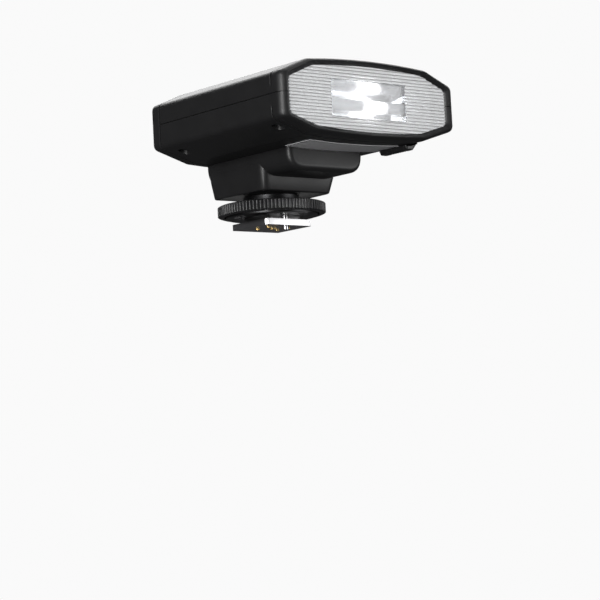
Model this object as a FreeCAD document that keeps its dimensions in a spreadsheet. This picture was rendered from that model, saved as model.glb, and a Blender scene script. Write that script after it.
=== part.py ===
"""Compact shoe-mount speedlight flash: a fixed octagonal head on a stepped neck, with a locking wheel and
an accessory-shoe foot.

Millimetres, +Z up. The origin is the centre of the underside of the foot plate, on the axis of the locking
wheel. The light comes out towards -Y, and the battery door is on the +X side.
"""
import FreeCAD, Part

import math
import os

import Sketcher
from FreeCAD import Placement, Rotation, Vector

doc = FreeCAD.newDocument("SpeedlightFlash")
sheet = doc.addObject("Spreadsheet::Sheet", "Sizes")

# ---------------------------------------------------------------------------------------------------------
# Sizes: a length and the sheet expression that gives it travel together, so every feature stays bound.
# ---------------------------------------------------------------------------------------------------------


class Size:
    """A length in millimetres together with the expression that computes it from the sheet."""

    def __init__(self, value, text):
        self.value = value
        self.text = text

    def combine(self, other, sign, value_of):
        other = as_size(other)
        return Size(value_of(self.value, other.value), f"({self.text} {sign} {other.text})")

    def __add__(self, other):
        return self.combine(other, "+", lambda a, b: a + b)

    def __sub__(self, other):
        return self.combine(other, "-", lambda a, b: a - b)

    def __mul__(self, other):
        return self.combine(other, "*", lambda a, b: a * b)

    def __truediv__(self, other):
        return self.combine(other, "/", lambda a, b: a / b)

    def __neg__(self):
        return as_size(0) - self


def as_size(number):
    """A plain number as a Size; a Size passes through."""
    return number if isinstance(number, Size) else Size(float(number), f"{float(number):.6g}")


row = 0


def size(alias, value, meaning):
    """Write one driving dimension into the sheet and return it."""
    global row
    row += 1
    sheet.set(f"A{row}", alias)
    sheet.set(f"B{row}", str(value))
    sheet.set(f"C{row}", meaning)
    sheet.setAlias(f"B{row}", alias)
    return Size(float(value), f"Sizes.{alias}")


# Head section (the octagon seen from the front) and depth
head_half = size("head_half", 35.1, "half the width between the vertical side faces")
front_reach = size("front_reach", 51.7, "wheel axis to the front ridge of the frame")
cover_depth = size("cover_depth", 4.6, "depth of the rear cover")
seam = size("seam", 0.3, "open seam between the casing and the rear cover")
side_top = size("side_top", 39.8, "top of the vertical side face")
side_low = size("side_low", 25.9, "bottom of the vertical side face")
parting = size("parting", 33.5, "height of the parting line between the two shells")
parting_gap = size("parting_gap", 0.2, "open gap at the parting line")
roof_half = size("roof_half", 23.5, "half the width of the top face")
roof_crown = size("roof_crown", 1.1, "rise of the top face in its middle")
floor_half = size("floor_half", 22.3, "half the width of the bottom face")
floor_crown = size("floor_crown", 0.85, "drop of the bottom face in its middle")
wall = size("wall", 1.6, "wall of the shells and covers")
frame_wall = size("frame_wall", 2.2, "thickness of the front frame")
slit_back = size("slit_back", 4.9, "front ridge to the cosmetic groove behind the frame")
slit_width = size("slit_width", 0.5, "width of that groove")
slit_deep = size("slit_deep", 0.6, "depth of that groove")
slit_end = size("slit_end", 4.0, "corners of the side face to the ends of the groove")
clear = size("open_gap", 0.3, "gap around a part that moves or drops in")
snug = size("snug", 0.1, "gap around a part that is glued or clipped in")
running = size("running", 0.06, "radial clearance of a running fit")
pressed = size("pressed", 0.03, "radial clearance of the pressed-in hinge pin")
sliding = size("sliding", 0.08, "radial clearance of the contact and lock pins")
film = size("film", 0.05, "film of glue or closest seat")
hair = size("hair", 0.01, "overlap or overshoot where two faces would coincide")

# Lens and light
lens_half = size("lens_half", 31.5, "half the width of the lens opening")
lens_inset = size("lens_inset", 2.1, "frame width above and below the lens")
lens_recess = size("lens_recess", 0.9, "front ridge to the lens face")
lens_trim = size("lens_trim", 1.4, "lens corners drawn in from the head's own corners")
lens_flange = size("lens_flange", 0.9, "lens flange beyond its opening at the sides")
flange_deep = size("flange_deep", 1.2, "lens flange thickness")
frame_slope = size("frame_slope", 1.6, "width of the frame's slope towards the lens")
front_round = size("front_round", 3.0, "plan radius of the head's front corners")
bevel_back = size("bevel_back", 0.3, "lens face to the back of the frame's slope")
light_rise = size("light_rise", 0.35, "light's axis above the middle of the side faces")
mouth_half = size("mouth_half", 26.6, "half the width of the reflector's mouth")
mouth_rise = size("mouth_rise", 7.5, "half the height of the reflector's mouth")
throat_half = size("throat_half", 20.0, "half the width of the reflector's back")
throat_rise = size("throat_rise", 3.2, "half the height of the reflector's back")
reflector_deep = size("reflector_deep", 11.2, "depth of the reflector")
reflector_wall = size("reflector_wall", 0.5, "sheet of the reflector")
tube_radius = size("tube_radius", 1.9, "glass tube radius")
tube_half = size("tube_half", 25.0, "half the length of the glass tube")
tube_back = size("tube_back", 3.6, "reflector's back to the tube's axis")
holder_thick = size("holder_thick", 1.4, "reflector holder plate")
cap_long = size("cap_long", 2.6, "length of the tube's end caps")
cap_wall = size("cap_wall", 0.7, "radial thickness of the end caps")
cap_over = size("cap_over", 1.4, "length of the tube inside each cap")
cap_gap = size("cap_gap", 0.02, "gap between the tube and its caps")

# Batteries
cell_radius = size("cell_radius", 7.25, "AA cell radius")
cell_body = size("cell_body", 49.5, "AA cell without its nub")
nub_radius = size("nub_radius", 2.75, "positive nub radius")
nub_tall = size("nub_tall", 1.0, "positive nub height")
cell_play = size("cell_play", 0.25, "radial room around a cell in the tray")
cell_start = size("cell_start", 24.2, "wheel axis to the -X ends of the cells")
cell_height = size("cell_height", 32.4, "height of the cell axes")
cell_web = size("cell_web", 0.4, "web between the two cell tunnels")
tray_wall = size("tray_wall", 1.0, "front and rear walls of the tray")
tray_end = size("tray_end", 1.0, "end wall of the tray")
tray_gap = size("tray_gap", 1.55, "reflector holder to the tray, with the gaps ahead of it")
tray_side = size("tray_side", 0.2, "tray to the inside of the walls")
contact_room = size("contact_room", 4.2, "room for contacts at the closed end")
tray_mouth = size("tray_mouth", 29.2, "wheel axis to the open end of the tray")
tray_lid = size("tray_lid", 0.7, "tray over the top of its tunnels")
roof_room = size("roof_room", 4.0, "tray to the top face: main board, chips and wall")
floor_room = size("floor_room", 3.0, "bottom of the tunnels to the bottom face: wall and play")
plate_thick = size("plate_thick", 0.4, "sprung sheet of the battery contacts")
plate_half = size("plate_half", 4.4, "half the side of a contact plate")
stud_inset = size("stud_inset", 0.4, "contact stud's radius less than the nub's")
coil_inset = size("coil_inset", 0.9, "contact plate's edge to the first ring of its spring")
coil_step = size("coil_step", 0.3, "each ring smaller than the last")
rear_room = size("rear_room", 17.25, "tray to the back face: capacitor, controls and rear cover")

# Battery door on the +X side
pin_radius = size("pin_radius", 0.6, "door hinge pin radius")
knuckle_radius = size("knuckle_radius", 1.3, "door hinge knuckle radius")
knuckle_low = size("knuckle_low", 27.0, "bottom of the knuckle")
knuckle_high = size("knuckle_high", 38.4, "top of the knuckle")
hinge_behind = size("hinge_behind", 1.2, "tray's rear wall to the hinge axis")
pin_engage = size("pin_engage", 1.4, "hinge pin in each shell")
boss_ahead = size("boss_ahead", 1.6, "hinge axis to the front of its bosses")
boss_past = size("boss_past", 1.2, "hinge bosses beyond the corners of the side face")
arm_in = size("arm_in", 0.6, "hinge axis to the inside of the door's arm")
arm_lap = size("arm_lap", 0.4, "lap of the arm on the door's edge")
door_step = size("door_step", 0.5, "front of the tray to the front edge of the door")
door_lap = size("door_lap", 1.0, "door over the mouth of the tray")
door_rise = size("door_rise", 0.1, "bottom of the tunnels to the bottom edge of the door")
door_fall = size("door_fall", 0.4, "top edge of the door to the top of the tunnels")

# Neck
neck_front = size("neck_front", 29.0, "wheel axis to the front of the neck's upper block")
neck_half = size("neck_half", 15.2, "half the width of the upper block")
neck_round = size("neck_round", 6.1, "lower corner radius of the upper block")
block_low = size("block_low", 14.4, "underside of the upper block")
neck_bottom = size("neck_bottom", 10.05, "underside of the neck")
lower_half = size("lower_half", 14.3, "half the width of the lower block")
lower_front = size("lower_front", 14.6, "wheel axis to the front of the lower block")
lower_rear = size("lower_rear", 11.3, "wheel axis to the rear of the neck at its bottom")
upper_rear = size("upper_rear", 14.1, "wheel axis to the rear of the neck at its top")
neck_wall = size("neck_wall", 1.8, "neck wall")
neck_floor = size("neck_floor", 2.2, "neck floor")
neck_step = size("neck_step", 0.9, "upper block ends this far ahead of the sloping back")
cable_radius = size("cable_radius", 3.0, "cable hole between the neck and the head")

# Locking wheel and foot
wheel_radius = size("wheel_radius", 17.5, "locking wheel radius")
wheel_low = size("wheel_low", 4.0, "lower rim of the wheel when clamped")
wheel_tall = size("wheel_tall", 3.7, "height of the wheel")
wheel_rim = size("wheel_rim", 2.1, "rim of the wheel around its hollow")
wheel_hollow = size("wheel_hollow", 1.6, "depth of the hollow under the wheel")
stem_radius = size("stem_radius", 9.0, "threaded stem radius")
stem_bore = size("stem_bore", 6.5, "bore of the threaded stem")
stem_low = size("stem_low", 3.8, "lower end of the threaded stem")
stem_flange = size("stem_flange", 11.2, "half the side of the stem's flange")
flange_thick = size("flange_thick", 1.6, "thickness of the stem's flange")
rail_top = size("rail_top", 3.5, "top of the shoe rails that the foot slides under")
clamp_thick = size("clamp_thick", 1.7, "clamp plate thickness")
clamp_room = size("clamp_room", 0.5, "clamp plate to the rim of the wheel")
foot_wide = size("foot_wide", 18.6, "foot width, across the shoe")
foot_long = size("foot_long", 18.0, "foot length, along the shoe")
foot_thick = size("foot_thick", 2.0, "foot thickness")
foot_neck = size("foot_neck", 12.2, "width between the shoe rails")
foot_neck_long = size("foot_neck_long", 12.8, "length of that narrow block")
flange_rear = size("flange_rear", 9.632, "wheel axis to the rear edge of the stem's flange")
stem_screw_in = size("stem_screw_in", 2.0, "edges of the flange to its screws")
screw_tip = size("screw_tip", 0.9, "underside of the neck to the tips of the stem's screws")
foot_corner = size("foot_corner", 1.0, "chamfer on the foot's leading corners")
plug_top = size("plug_top", 7.0, "top of the foot's round plug in the stem")
pin_top = size("pin_top", 8.2, "top of the contact pins")
sink_floor = size("sink_floor", 2.4, "seat of the contact pins' collars")
pin_room = size("pin_room", 0.8, "room over the contact pins")
collar_wide = size("collar_wide", 0.5, "collar beyond its pin")
collar_thick = size("collar_thick", 0.8, "thickness of a collar")
contact_radius = size("contact_radius", 1.2, "centre contact radius")
side_contact_radius = size("side_contact_radius", 0.7, "side contact radius")
side_contact_x = size("side_contact_x", 4.0, "side contacts from the centre line")
side_contact_y = size("side_contact_y", 2.8, "side contacts ahead of and behind the centre")
contact_drop = size("contact_drop", 0.35, "contacts below the foot")
lock_radius = size("lock_radius", 1.0, "lock pin radius")
lock_ahead = size("lock_ahead", 6.6, "wheel axis to the lock pin")
lock_drop = size("lock_drop", 1.2, "lock pin below the foot when locked")
lock_rise = size("lock_rise", 1.45, "lock pin travel")
lock_tip = size("lock_tip", 0.35, "lower end of the stem to the top of the lock pin")

# Controls on the rear cover
board_thick = size("board_thick", 1.0, "circuit boards")
board_deep = size("board_deep", 5.3, "back face to the front of the display board")
board_room = size("board_room", 0.4, "display board to the inside of the walls")
window_recess = size("window_recess", 0.15, "back face to the window's face")
panel_inset = size("panel_inset", 0.8, "window's edge to the display's edge")
panel_gap = size("panel_gap", 0.2, "display to the window")
screen_left = size("screen_left", 28.0, "wheel axis to the far edge of the screen window")
screen_wide = size("screen_wide", 25.0, "screen window width")
screen_tall = size("screen_tall", 12.4, "screen window height")
button_radius = size("button_radius", 2.6, "push button radius")
button_near = size("button_near", 4.6, "wheel axis to the first button column")
button_pitch = size("button_pitch", 7.6, "between buttons, both ways")
button_proud = size("button_proud", 0.7, "buttons beyond the back face")
button_travel = size("button_travel", 0.4, "button travel")
button_flange = size("button_flange", 0.7, "flange beyond the button that keeps it in")
button_flange_thick = size("button_flange_thick", 0.5, "thickness of that flange")
switch_deep = size("switch_deep", 1.0, "height of the tactile switches on their board")
tactile_half = size("tactile_half", 2.2, "half the side of a tactile switch")
switch_x = size("switch_x", 24.0, "wheel axis to the power switch")
switch_half = size("switch_half", 1.9, "half the width of the power switch knob")
switch_tall = size("switch_tall", 4.4, "height of the power switch knob")
switch_travel = size("switch_travel", 3.0, "power switch travel")
knob_proud = size("knob_proud", 0.9, "power switch knob beyond the back face")
knob_flange_wide = size("knob_flange_wide", 0.9, "flange beyond the knob that keeps it in")
knob_flange_thick = size("knob_flange_thick", 0.7, "thickness of that flange")
base_half = size("base_half", 2.4, "half the width of the power switch's base")
base_rise = size("base_rise", 4.5, "half the height of that base")

# Fasteners
well_x = size("well_x", 29.8, "case screws from the middle plane")
well_inset = size("well_inset", 9.1, "front ridge to the front case screws")
well_behind = size("well_behind", 7.15, "tray to the rear case screws")
well_radius = size("well_radius", 1.9, "screw well radius")
well_floor = size("well_floor", 27.0, "height of the well's seat")
boss_radius = size("boss_radius", 3.0, "case screw boss radius")
boss_inset = size("boss_inset", 0.4, "bosses stop this far inside the outer faces")
screw_radius = size("screw_radius", 1.0, "screw shank radius")
screw_head = size("screw_head", 1.65, "screw head radius")
head_tall = size("head_tall", 1.2, "screw head height")
screw_bite = size("screw_bite", 5.0, "shank beyond the parting line")
cross_half = size("cross_half", 1.0, "half the length of a screw's cross slot")
cross_wide = size("cross_wide", 0.4, "width of the cross slot")
cross_floor = size("cross_floor", 0.5, "screw head left over the cross slot")
neck_screw_in = size("neck_screw_in", 2.0, "neck's side walls to its screws")
neck_screw_ahead = size("neck_screw_ahead", 4.2, "front of the neck to its front screws")
neck_screw_behind = size("neck_screw_behind", 5.4, "back of the neck to its rear screws")
neck_boss_radius = size("neck_boss_radius", 2.3, "neck screw boss radius")
neck_boss_low = size("neck_boss_low", 1.2, "underside of the upper block to its bosses")

# Underside details
label_left = size("label_left", 16.7, "label's -X end from the middle plane")
label_right = size("label_right", 19.6, "label's +X end from the middle plane")
label_inset = size("label_inset", 10.4, "front ridge to the label's front edge")
label_thick = size("label_thick", 0.15, "label thickness")
label_gap = size("label_gap", 0.4, "label to the front of the neck")
latch_inset = size("latch_inset", 7.7, "front ridge to the latch's front end")
latch_long = size("latch_long", 13.0, "latch length")
latch_near = size("latch_near", 20.1, "latch's inner edge from the middle plane")
latch_travel = size("latch_travel", 2.5, "latch travel")
latch_stem = size("latch_stem", 1.4, "thickness of the latch's stem")
latch_stem_long = size("latch_stem_long", 2.4, "length of the latch's stem along its travel")
latch_drop = size("latch_drop", 1.8, "latch below the bottom face")
latch_draft = size("latch_draft", 0.6, "slope of the latch's inner side")
latch_flat = size("latch_flat", 3.7, "inner edge to the end of the latch's flat")
latch_wide = size("latch_wide", 5.4, "inner edge to the latch's outer edge")
latch_outer_rise = size("latch_outer_rise", 0.5, "outer edge above the bottom face")
slot_in = size("slot_in", 1.0, "latch's inner edge to the slot for its stem")
stem_in = size("stem_in", 1.0, "latch's front end to its stem")
latch_foot_gap = size("latch_foot_gap", 0.7, "bottom wall to the latch's foot")
latch_foot_thick = size("latch_foot_thick", 0.8, "thickness of that foot")
latch_foot_in = size("latch_foot_in", 0.6, "foot beyond the latch's inner edge")
latch_foot_out = size("latch_foot_out", 3.0, "inner edge to the foot's outer side")

# Electronics
main_half = size("main_half", 21.0, "half the length of the main board")
main_inset = size("main_inset", 1.0, "front and rear walls of the tray to the main board")
chip_tall = size("chip_tall", 0.9, "height of the chips")
power_half = size("power_half", 20.0, "half the length of the power board")
power_ahead = size("power_ahead", 0.5, "tray to the power board")
power_behind = size("power_behind", 0.4, "power board to the display board")
capacitor_radius = size("capacitor_radius", 5.4, "flash capacitor radius")
capacitor_half = size("capacitor_half", 19.0, "half the length of the flash capacitor")
capacitor_ahead = size("capacitor_ahead", 0.3, "tray to the capacitor")
capacitor_over = size("capacitor_over", 0.9, "capacitor to the top wall")
capacitor_under = size("capacitor_under", 0.4, "capacitor to the transformers")
core_left = size("core_left", 16.0, "middle plane to the far side of the step-up transformer")
core_wide = size("core_wide", 10.0, "width of the step-up transformer")
core_ahead = size("core_ahead", 1.4, "tray to the step-up transformer")
core_deep = size("core_deep", 8.6, "depth of the step-up transformer")
trigger_x = size("trigger_x", 9.0, "middle plane to the trigger transformer")
trigger_behind = size("trigger_behind", 5.5, "tray to the trigger transformer's axis")
trigger_radius = size("trigger_radius", 3.0, "trigger transformer radius")
transistor_x = size("transistor_x", 14.5, "middle plane to the power transistor")
transistor_wide = size("transistor_wide", 4.0, "width of the power transistor")
transistor_behind = size("transistor_behind", 3.0, "tray to the power transistor")
transistor_deep = size("transistor_deep", 5.0, "depth of the power transistor")
transistor_tall = size("transistor_tall", 3.5, "height of the power transistor")

sheet.recompute()

# Planes and stations that several pieces share. The cells set the height and the rear of the casing.
tunnel = cell_radius + cell_play
tray_top = cell_height + tunnel + tray_lid
roof_edge = tray_top + roof_room
floor_edge = cell_height - tunnel - floor_room
door_low = cell_height - tunnel + door_rise
door_high = cell_height + tunnel - door_fall
inner_front = frame_wall - front_reach
lens_face = lens_recess - front_reach
tray_front = inner_front + flange_deep + reflector_deep + holder_thick + tray_gap
tray_rear = tray_front + tray_wall * 2 + tunnel * 4 + cell_web
rear_reach = tray_rear + rear_room
seam_y = rear_reach - cover_depth
board_back = rear_reach - board_deep
cell_front_y = tray_front + tray_wall + tunnel
cell_rear_y = cell_front_y + tunnel * 2 + cell_web
well_front = front_reach - well_inset
well_rear = tray_rear + well_behind
label_front = front_reach - label_inset
latch_front = front_reach - latch_inset
hinge_x = head_half - knuckle_radius
hinge_y = tray_rear + hinge_behind
door_front = tray_front + door_step
middle_z = (side_top + side_low) / 2
roof_inner = roof_edge - wall
floor_inner = floor_edge + wall

# ---------------------------------------------------------------------------------------------------------
# Helpers: each makes one document object and binds its sizes to the sheet.
# ---------------------------------------------------------------------------------------------------------

FACING = {"XY": Rotation(), "XZ": Rotation(Vector(1, 0, 0), 90), "YZ": Rotation(Vector(1, 1, 1), 120)}
NORMAL = {"XY": Vector(0, 0, 1), "XZ": Vector(0, 1, 0), "YZ": Vector(1, 0, 0)}
TURN = {"X": Rotation(Vector(0, 1, 0), 90), "Y": Rotation(Vector(1, 0, 0), -90), "Z": Rotation()}
over = 1.0  # a cutter runs this far past the face that it opens
beyond = 60.0  # past every face of the part
pieces = []
serial = 0


def new(kind, name):
    global serial
    serial += 1
    return doc.addObject(kind, f"{name}_{serial}")


def bind(thing, prop, length):
    thing.setExpression(prop, as_size(length).text)


def place(thing, x, y, z, rotation=None):
    """Stand an object at x, y, z, bound to the sheet."""
    x, y, z = as_size(x), as_size(y), as_size(z)
    thing.Placement = Placement(Vector(x.value, y.value, z.value), rotation or Rotation())
    for axis, length in (("x", x), ("y", y), ("z", z)):
        bind(thing, f"Placement.Base.{axis}", length)
    return thing


def box(x_range, y_range, z_range):
    """Block between two planes on each axis."""
    block = new("Part::Box", "Block")
    lows = [as_size(low) for low, high in (x_range, y_range, z_range)]
    for prop, (low, high) in zip(("Length", "Width", "Height"), (x_range, y_range, z_range)):
        bind(block, prop, as_size(high) - low)
    return place(block, *lows)


def slab(low, high):
    """Everything between two heights."""
    return box((-beyond, beyond), (-beyond, beyond), (low, high))


def rod(axis, centre, radius, low, high):
    """Cylinder along an axis: centre gives the two other coordinates, in X, Y, Z order."""
    bar = new("Part::Cylinder", "Rod")
    bind(bar, "Radius", radius)
    bind(bar, "Height", as_size(high) - low)
    spots = {"X": (low, *centre), "Y": (centre[0], low, centre[1]), "Z": (*centre, low)}
    return place(bar, *spots[axis], TURN[axis])


def outline(plane, offset, corners):
    """Closed sketch on a plane. Each corner is (across, up) or (across, up, sagitta), where a sagitta makes
    the edge to the next corner an arc that bulges that far to the right of its direction."""
    sketch = new("Sketcher::SketchObject", "Outline")
    spot = {"XY": (0, 0, offset), "XZ": (0, offset, 0), "YZ": (offset, 0, 0)}[plane]
    place(sketch, *spot, FACING[plane])
    corners = [tuple(as_size(part) for part in corner) for corner in corners]
    count = len(corners)
    starts = []
    for index, corner in enumerate(corners):
        after = corners[(index + 1) % count]
        start = Vector(corner[0].value, corner[1].value, 0)
        end = Vector(after[0].value, after[1].value, 0)
        if len(corner) == 3:
            half = (end - start) * 0.5
            bulge = Vector(half.y, -half.x, 0).normalize() * corner[2].value
            curve = Part.Arc(start, start + half + bulge, end)
            edge = sketch.addGeometry(curve, False)
            arc = sketch.Geometry[edge]
            # an arc of circle always runs anticlockwise, so its own start may be this edge's end
            forward = arc.StartPoint.distanceToPoint(start) < arc.StartPoint.distanceToPoint(end)
            starts.append((edge, 1 if forward else 2, 2 if forward else 1))
        else:
            edge = sketch.addGeometry(Part.LineSegment(start, end), False)
            starts.append((edge, 1, 2))
    for index, (edge, first, last) in enumerate(starts):
        next_edge, next_first, _ = starts[(index + 1) % count]
        sketch.addConstraint(Sketcher.Constraint("Coincident", edge, last, next_edge, next_first))
    for index, (edge, first, last) in enumerate(starts):
        for letter, kind, part in (("x", "DistanceX", 0), ("y", "DistanceY", 1)):
            length = corners[index][part]
            name = f"corner{index}{letter}"
            number = sketch.addConstraint(Sketcher.Constraint(kind, -1, 1, edge, first, length.value))
            sketch.renameConstraint(number, name)
            bind(sketch, f"Constraints.{name}", length)
        if len(corners[index]) == 3:
            after = corners[(index + 1) % count]
            across, up = after[0] - corners[index][0], after[1] - corners[index][1]
            rise = corners[index][2]
            radius = (across * across + up * up) / (rise * 8) + rise / 2
            name = f"radius{index}"
            number = sketch.addConstraint(Sketcher.Constraint("Radius", edge, radius.value))
            sketch.renameConstraint(number, name)
            bind(sketch, f"Constraints.{name}", radius)
    return sketch


def prism(plane, low, high, corners):
    """Outline pushed along its plane's normal from low to high."""
    solid = new("Part::Extrusion", "Prism")
    solid.Base = outline(plane, low, corners)
    solid.DirMode = "Custom"
    solid.Dir = NORMAL[plane]
    solid.Solid = True
    bind(solid, "LengthFwd", as_size(high) - low)
    return solid


def cut(base, *tools):
    """Base without the tools."""
    for tool in tools:
        result = new("Part::Cut", "Cut")
        result.Base = base
        result.Tool = tool
        result.Refine = True
        base = result
    return base


def fuse(*shapes):
    result = new("Part::MultiFuse", "Fuse")
    result.Shapes = list(shapes)
    result.Refine = True
    return result


def common(*shapes):
    result = new("Part::MultiCommon", "Common")
    result.Shapes = list(shapes)
    result.Refine = True
    return result


def group(*shapes):
    """Separate solids of one node, kept apart."""
    result = new("Part::Compound", "Group")
    result.Links = list(shapes)
    return result


def piece(name, thing):
    """Name a finished sub-part."""
    thing.Label = name
    pieces.append(thing)
    return thing


def mirrored_corners(half):
    """Complete an outline that is symmetric about the middle plane, given its +X corners from bottom to
    top. A crown on the last corner bulges the top edge; a crown on the first bulges the bottom edge."""
    left = [(-corner[0], corner[1]) for corner in reversed(half)]
    right = [tuple(corner[:2]) for corner in half]
    top_crown = half[-1][2:]
    bottom_crown = half[0][2:]
    right[-1] = right[-1] + top_crown
    left[-1] = left[-1] + bottom_crown
    return right + left


# Drawn in by a distance, the octagon's side corners move up or down by this share of it, and the corners
# of its top and bottom faces move in by the other, so that the sloping faces move in by about as much.
side_share, face_share = 0.56, 0.25
# The same two shares for the lens, whose corners are cut more sharply
lens_side_share, lens_face_share = 0.2, 0.4


def octagon(shrink_side, shrink_up, low, high, crowned=True):
    """Head section as a prism along Y, drawn in at the sides by one distance, above and below by another."""
    lift = as_size(shrink_up) * side_share
    draw = as_size(shrink_up) * face_share
    floor = (floor_half - draw, floor_edge + shrink_up)
    roof = (roof_half - draw, roof_edge - shrink_up)
    if crowned:
        floor, roof = floor + (floor_crown,), roof + (roof_crown,)
    side = head_half - shrink_side
    half = [floor, (side, side_low + lift), (side, side_top - lift), roof]
    return prism("XZ", low, high, mirrored_corners(half))


def lens_corners(grow_side, grow_up):
    """Corners of the lens opening, grown sideways and up and down."""
    grow_side, grow_up = as_size(grow_side), as_size(grow_up)
    rise = lens_inset - grow_up
    corner_in = lens_trim - grow_up * lens_face_share
    corner_up = lens_trim - grow_side * lens_side_share
    return mirrored_corners([
        (floor_half - corner_in, floor_edge + rise, floor_crown),
        (lens_half + grow_side, side_low + corner_up),
        (lens_half + grow_side, side_top - corner_up),
        (roof_half - corner_in, roof_edge - rise, roof_crown),
    ])


def lens_shape(grow_side, grow_up, low, high):
    """Lens outline as a prism along Y, grown sideways and up and down."""
    return prism("XZ", low, high, lens_corners(grow_side, grow_up))


slope_share = 0.7  # the frame's slope is this much narrower above and below than at the sides


def frame_bevel():
    """Slope of the front frame that leads in to the lens."""
    loft = new("Part::Loft", "Bevel")
    loft.Sections = [
        outline("XZ", -front_reach - hair, lens_corners(frame_slope, frame_slope * slope_share)),
        outline("XZ", lens_face + bevel_back, lens_corners(0, 0)),
    ]
    loft.Solid = True
    loft.Ruled = True
    return loft


def plan_shape():
    """Plan of the head with its rounded front corners, as a prism along Z."""
    half, front = head_half, -front_reach
    sagitta = front_round * (1 - math.sqrt(0.5))
    return prism("XY", 0, beyond, [
        (half, beyond), (-half, beyond), (-half, front + front_round, sagitta), (front_round - half, front),
        (half - front_round, front, sagitta), (half, front + front_round),
    ])


both = (-1, 1)
well_spots = [(well_x * side, y) for side in both for y in (-well_front, well_rear)]

# ---------------------------------------------------------------------------------------------------------
# Head casing: two shells split at the parting line, with the front frame moulded on, and a rear cover
# ---------------------------------------------------------------------------------------------------------


def hinge_boss(low, high):
    """Solid corner in which one end of the door's hinge pin sits."""
    return box(
        (hinge_x - knuckle_radius, head_half), (hinge_y - boss_ahead, hinge_y + knuckle_radius), (low, high)
    )


def door_opening():
    """Side opening for the battery door and its knuckle."""
    heights = (door_low - clear, door_high + clear)
    panel = box((tray_mouth - door_lap, head_half + over), (door_front - clear, tray_rear), heights)
    knuckle = box(
        (hinge_x - knuckle_radius - clear, head_half + over),
        (tray_rear - over, hinge_y + knuckle_radius + clear),
        (knuckle_low - clear, knuckle_high + clear),
    )
    # the door's rear edge sweeps round the pin, so the casing beside the knuckle is rounded too
    sweep = cut(
        box((hinge_x, head_half + over), (tray_rear - over, hinge_y), heights),
        rod("Z", (hinge_x, hinge_y), knuckle_radius, door_low - over, door_high + over),
    )
    return fuse(panel, knuckle, sweep)


def frame_groove():
    """Cosmetic groove behind the front frame: over the top and under the bottom, not on the sides."""
    groove_y = slit_back - front_reach
    return cut(
        octagon(-over, -over, groove_y, groove_y + slit_width),
        octagon(slit_deep, slit_deep, groove_y - over, groove_y + slit_width + over),
        slab(side_low + slit_end, side_top - slit_end),
    )


def casing():
    """Whole casing in front of the rear cover, before it is split."""
    body = cut(
        octagon(0, 0, -front_reach, seam_y - seam / 2),
        octagon(wall, wall, inner_front, seam_y + over),
        lens_shape(0, 0, -front_reach - over, inner_front + over),
        frame_bevel(),
        frame_groove(),
    )
    return common(body, plan_shape())


def upper_shell():
    low = parting + parting_gap / 2
    skin = common(casing(), slab(low, beyond))
    inside = octagon(boss_inset, boss_inset, inner_front, seam_y - seam)
    bosses = [rod("Z", spot, boss_radius, low, roof_edge) for spot in well_spots]
    pivot = hinge_boss(knuckle_high + clear, side_top + boss_past)
    body = fuse(skin, common(fuse(*bosses, pivot), inside))
    pilot_top = parting + screw_bite + over
    pilots = [rod("Z", spot, screw_radius + snug, parting - over, pilot_top) for spot in well_spots]
    pin_top_end = knuckle_high + clear + pin_engage + snug
    pin_hole = rod("Z", (hinge_x, hinge_y), pin_radius + pressed, knuckle_low, pin_top_end)
    return cut(body, door_opening(), pin_hole, *pilots)


def lower_shell():
    high = parting - parting_gap / 2
    skin = common(casing(), slab(0, high))
    inside = octagon(boss_inset, boss_inset, inner_front, seam_y - seam)
    bosses = [rod("Z", spot, boss_radius, floor_edge, high) for spot in well_spots]
    pivot = hinge_boss(side_low - boss_past, knuckle_low - clear)
    body = fuse(skin, common(fuse(*bosses, pivot), inside))
    wells = [rod("Z", spot, well_radius, 0, well_floor) for spot in well_spots]
    shafts = [rod("Z", spot, screw_radius + snug, well_floor - over, parting + over) for spot in well_spots]
    pin_low_end = knuckle_low - clear - pin_engage - snug
    pin_hole = rod("Z", (hinge_x, hinge_y), pin_radius + pressed, pin_low_end, knuckle_high)
    neck_holes = [rod("Z", spot, screw_radius + snug, 0, roof_edge) for spot in neck_screw_spots]
    sink_low = floor_inner - head_tall - snug
    neck_sinks = [rod("Z", spot, screw_head + snug, sink_low, parting) for spot in neck_screw_spots]
    cable_hole = rod("Z", (0, 0), cable_radius, 0, parting)
    slot_x = latch_near + slot_in
    slot_y = stem_in - latch_front
    latch_slot = box(
        (slot_x, slot_x + latch_stem + clear * 2),
        (slot_y - clear, slot_y + latch_stem_long + latch_travel + clear),
        (0, parting),
    )
    return cut(
        body, door_opening(), pin_hole, cable_hole, latch_slot, *wells, *shafts, *neck_holes, *neck_sinks
    )


neck_screw_x = neck_half - neck_wall - neck_screw_in
neck_screw_y = (neck_screw_ahead - neck_front, upper_rear - neck_screw_behind)
neck_screw_spots = [(neck_screw_x * side, y) for side in both for y in neck_screw_y]

piece("upper_shell", upper_shell())
piece("lower_shell", lower_shell())



def cross_slot(spot, across, along):
    """One arm of the cross slot in a case screw's head."""
    return box(
        (spot[0] - across, spot[0] + across),
        (spot[1] - along, spot[1] + along),
        (well_floor - head_tall - over, well_floor - cross_floor),
    )


case_screws = []
for spot in well_spots:
    shank = rod("Z", spot, screw_radius, well_floor, parting + screw_bite)
    head = rod("Z", spot, screw_head, well_floor - head_tall, well_floor)
    arms = (cross_slot(spot, cross_half, cross_wide / 2), cross_slot(spot, cross_wide / 2, cross_half))
    case_screws.append(cut(fuse(shank, head), *arms))
piece("case_screws", group(*case_screws))

# ---------------------------------------------------------------------------------------------------------
# Rear cover with the controls
# ---------------------------------------------------------------------------------------------------------

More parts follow.
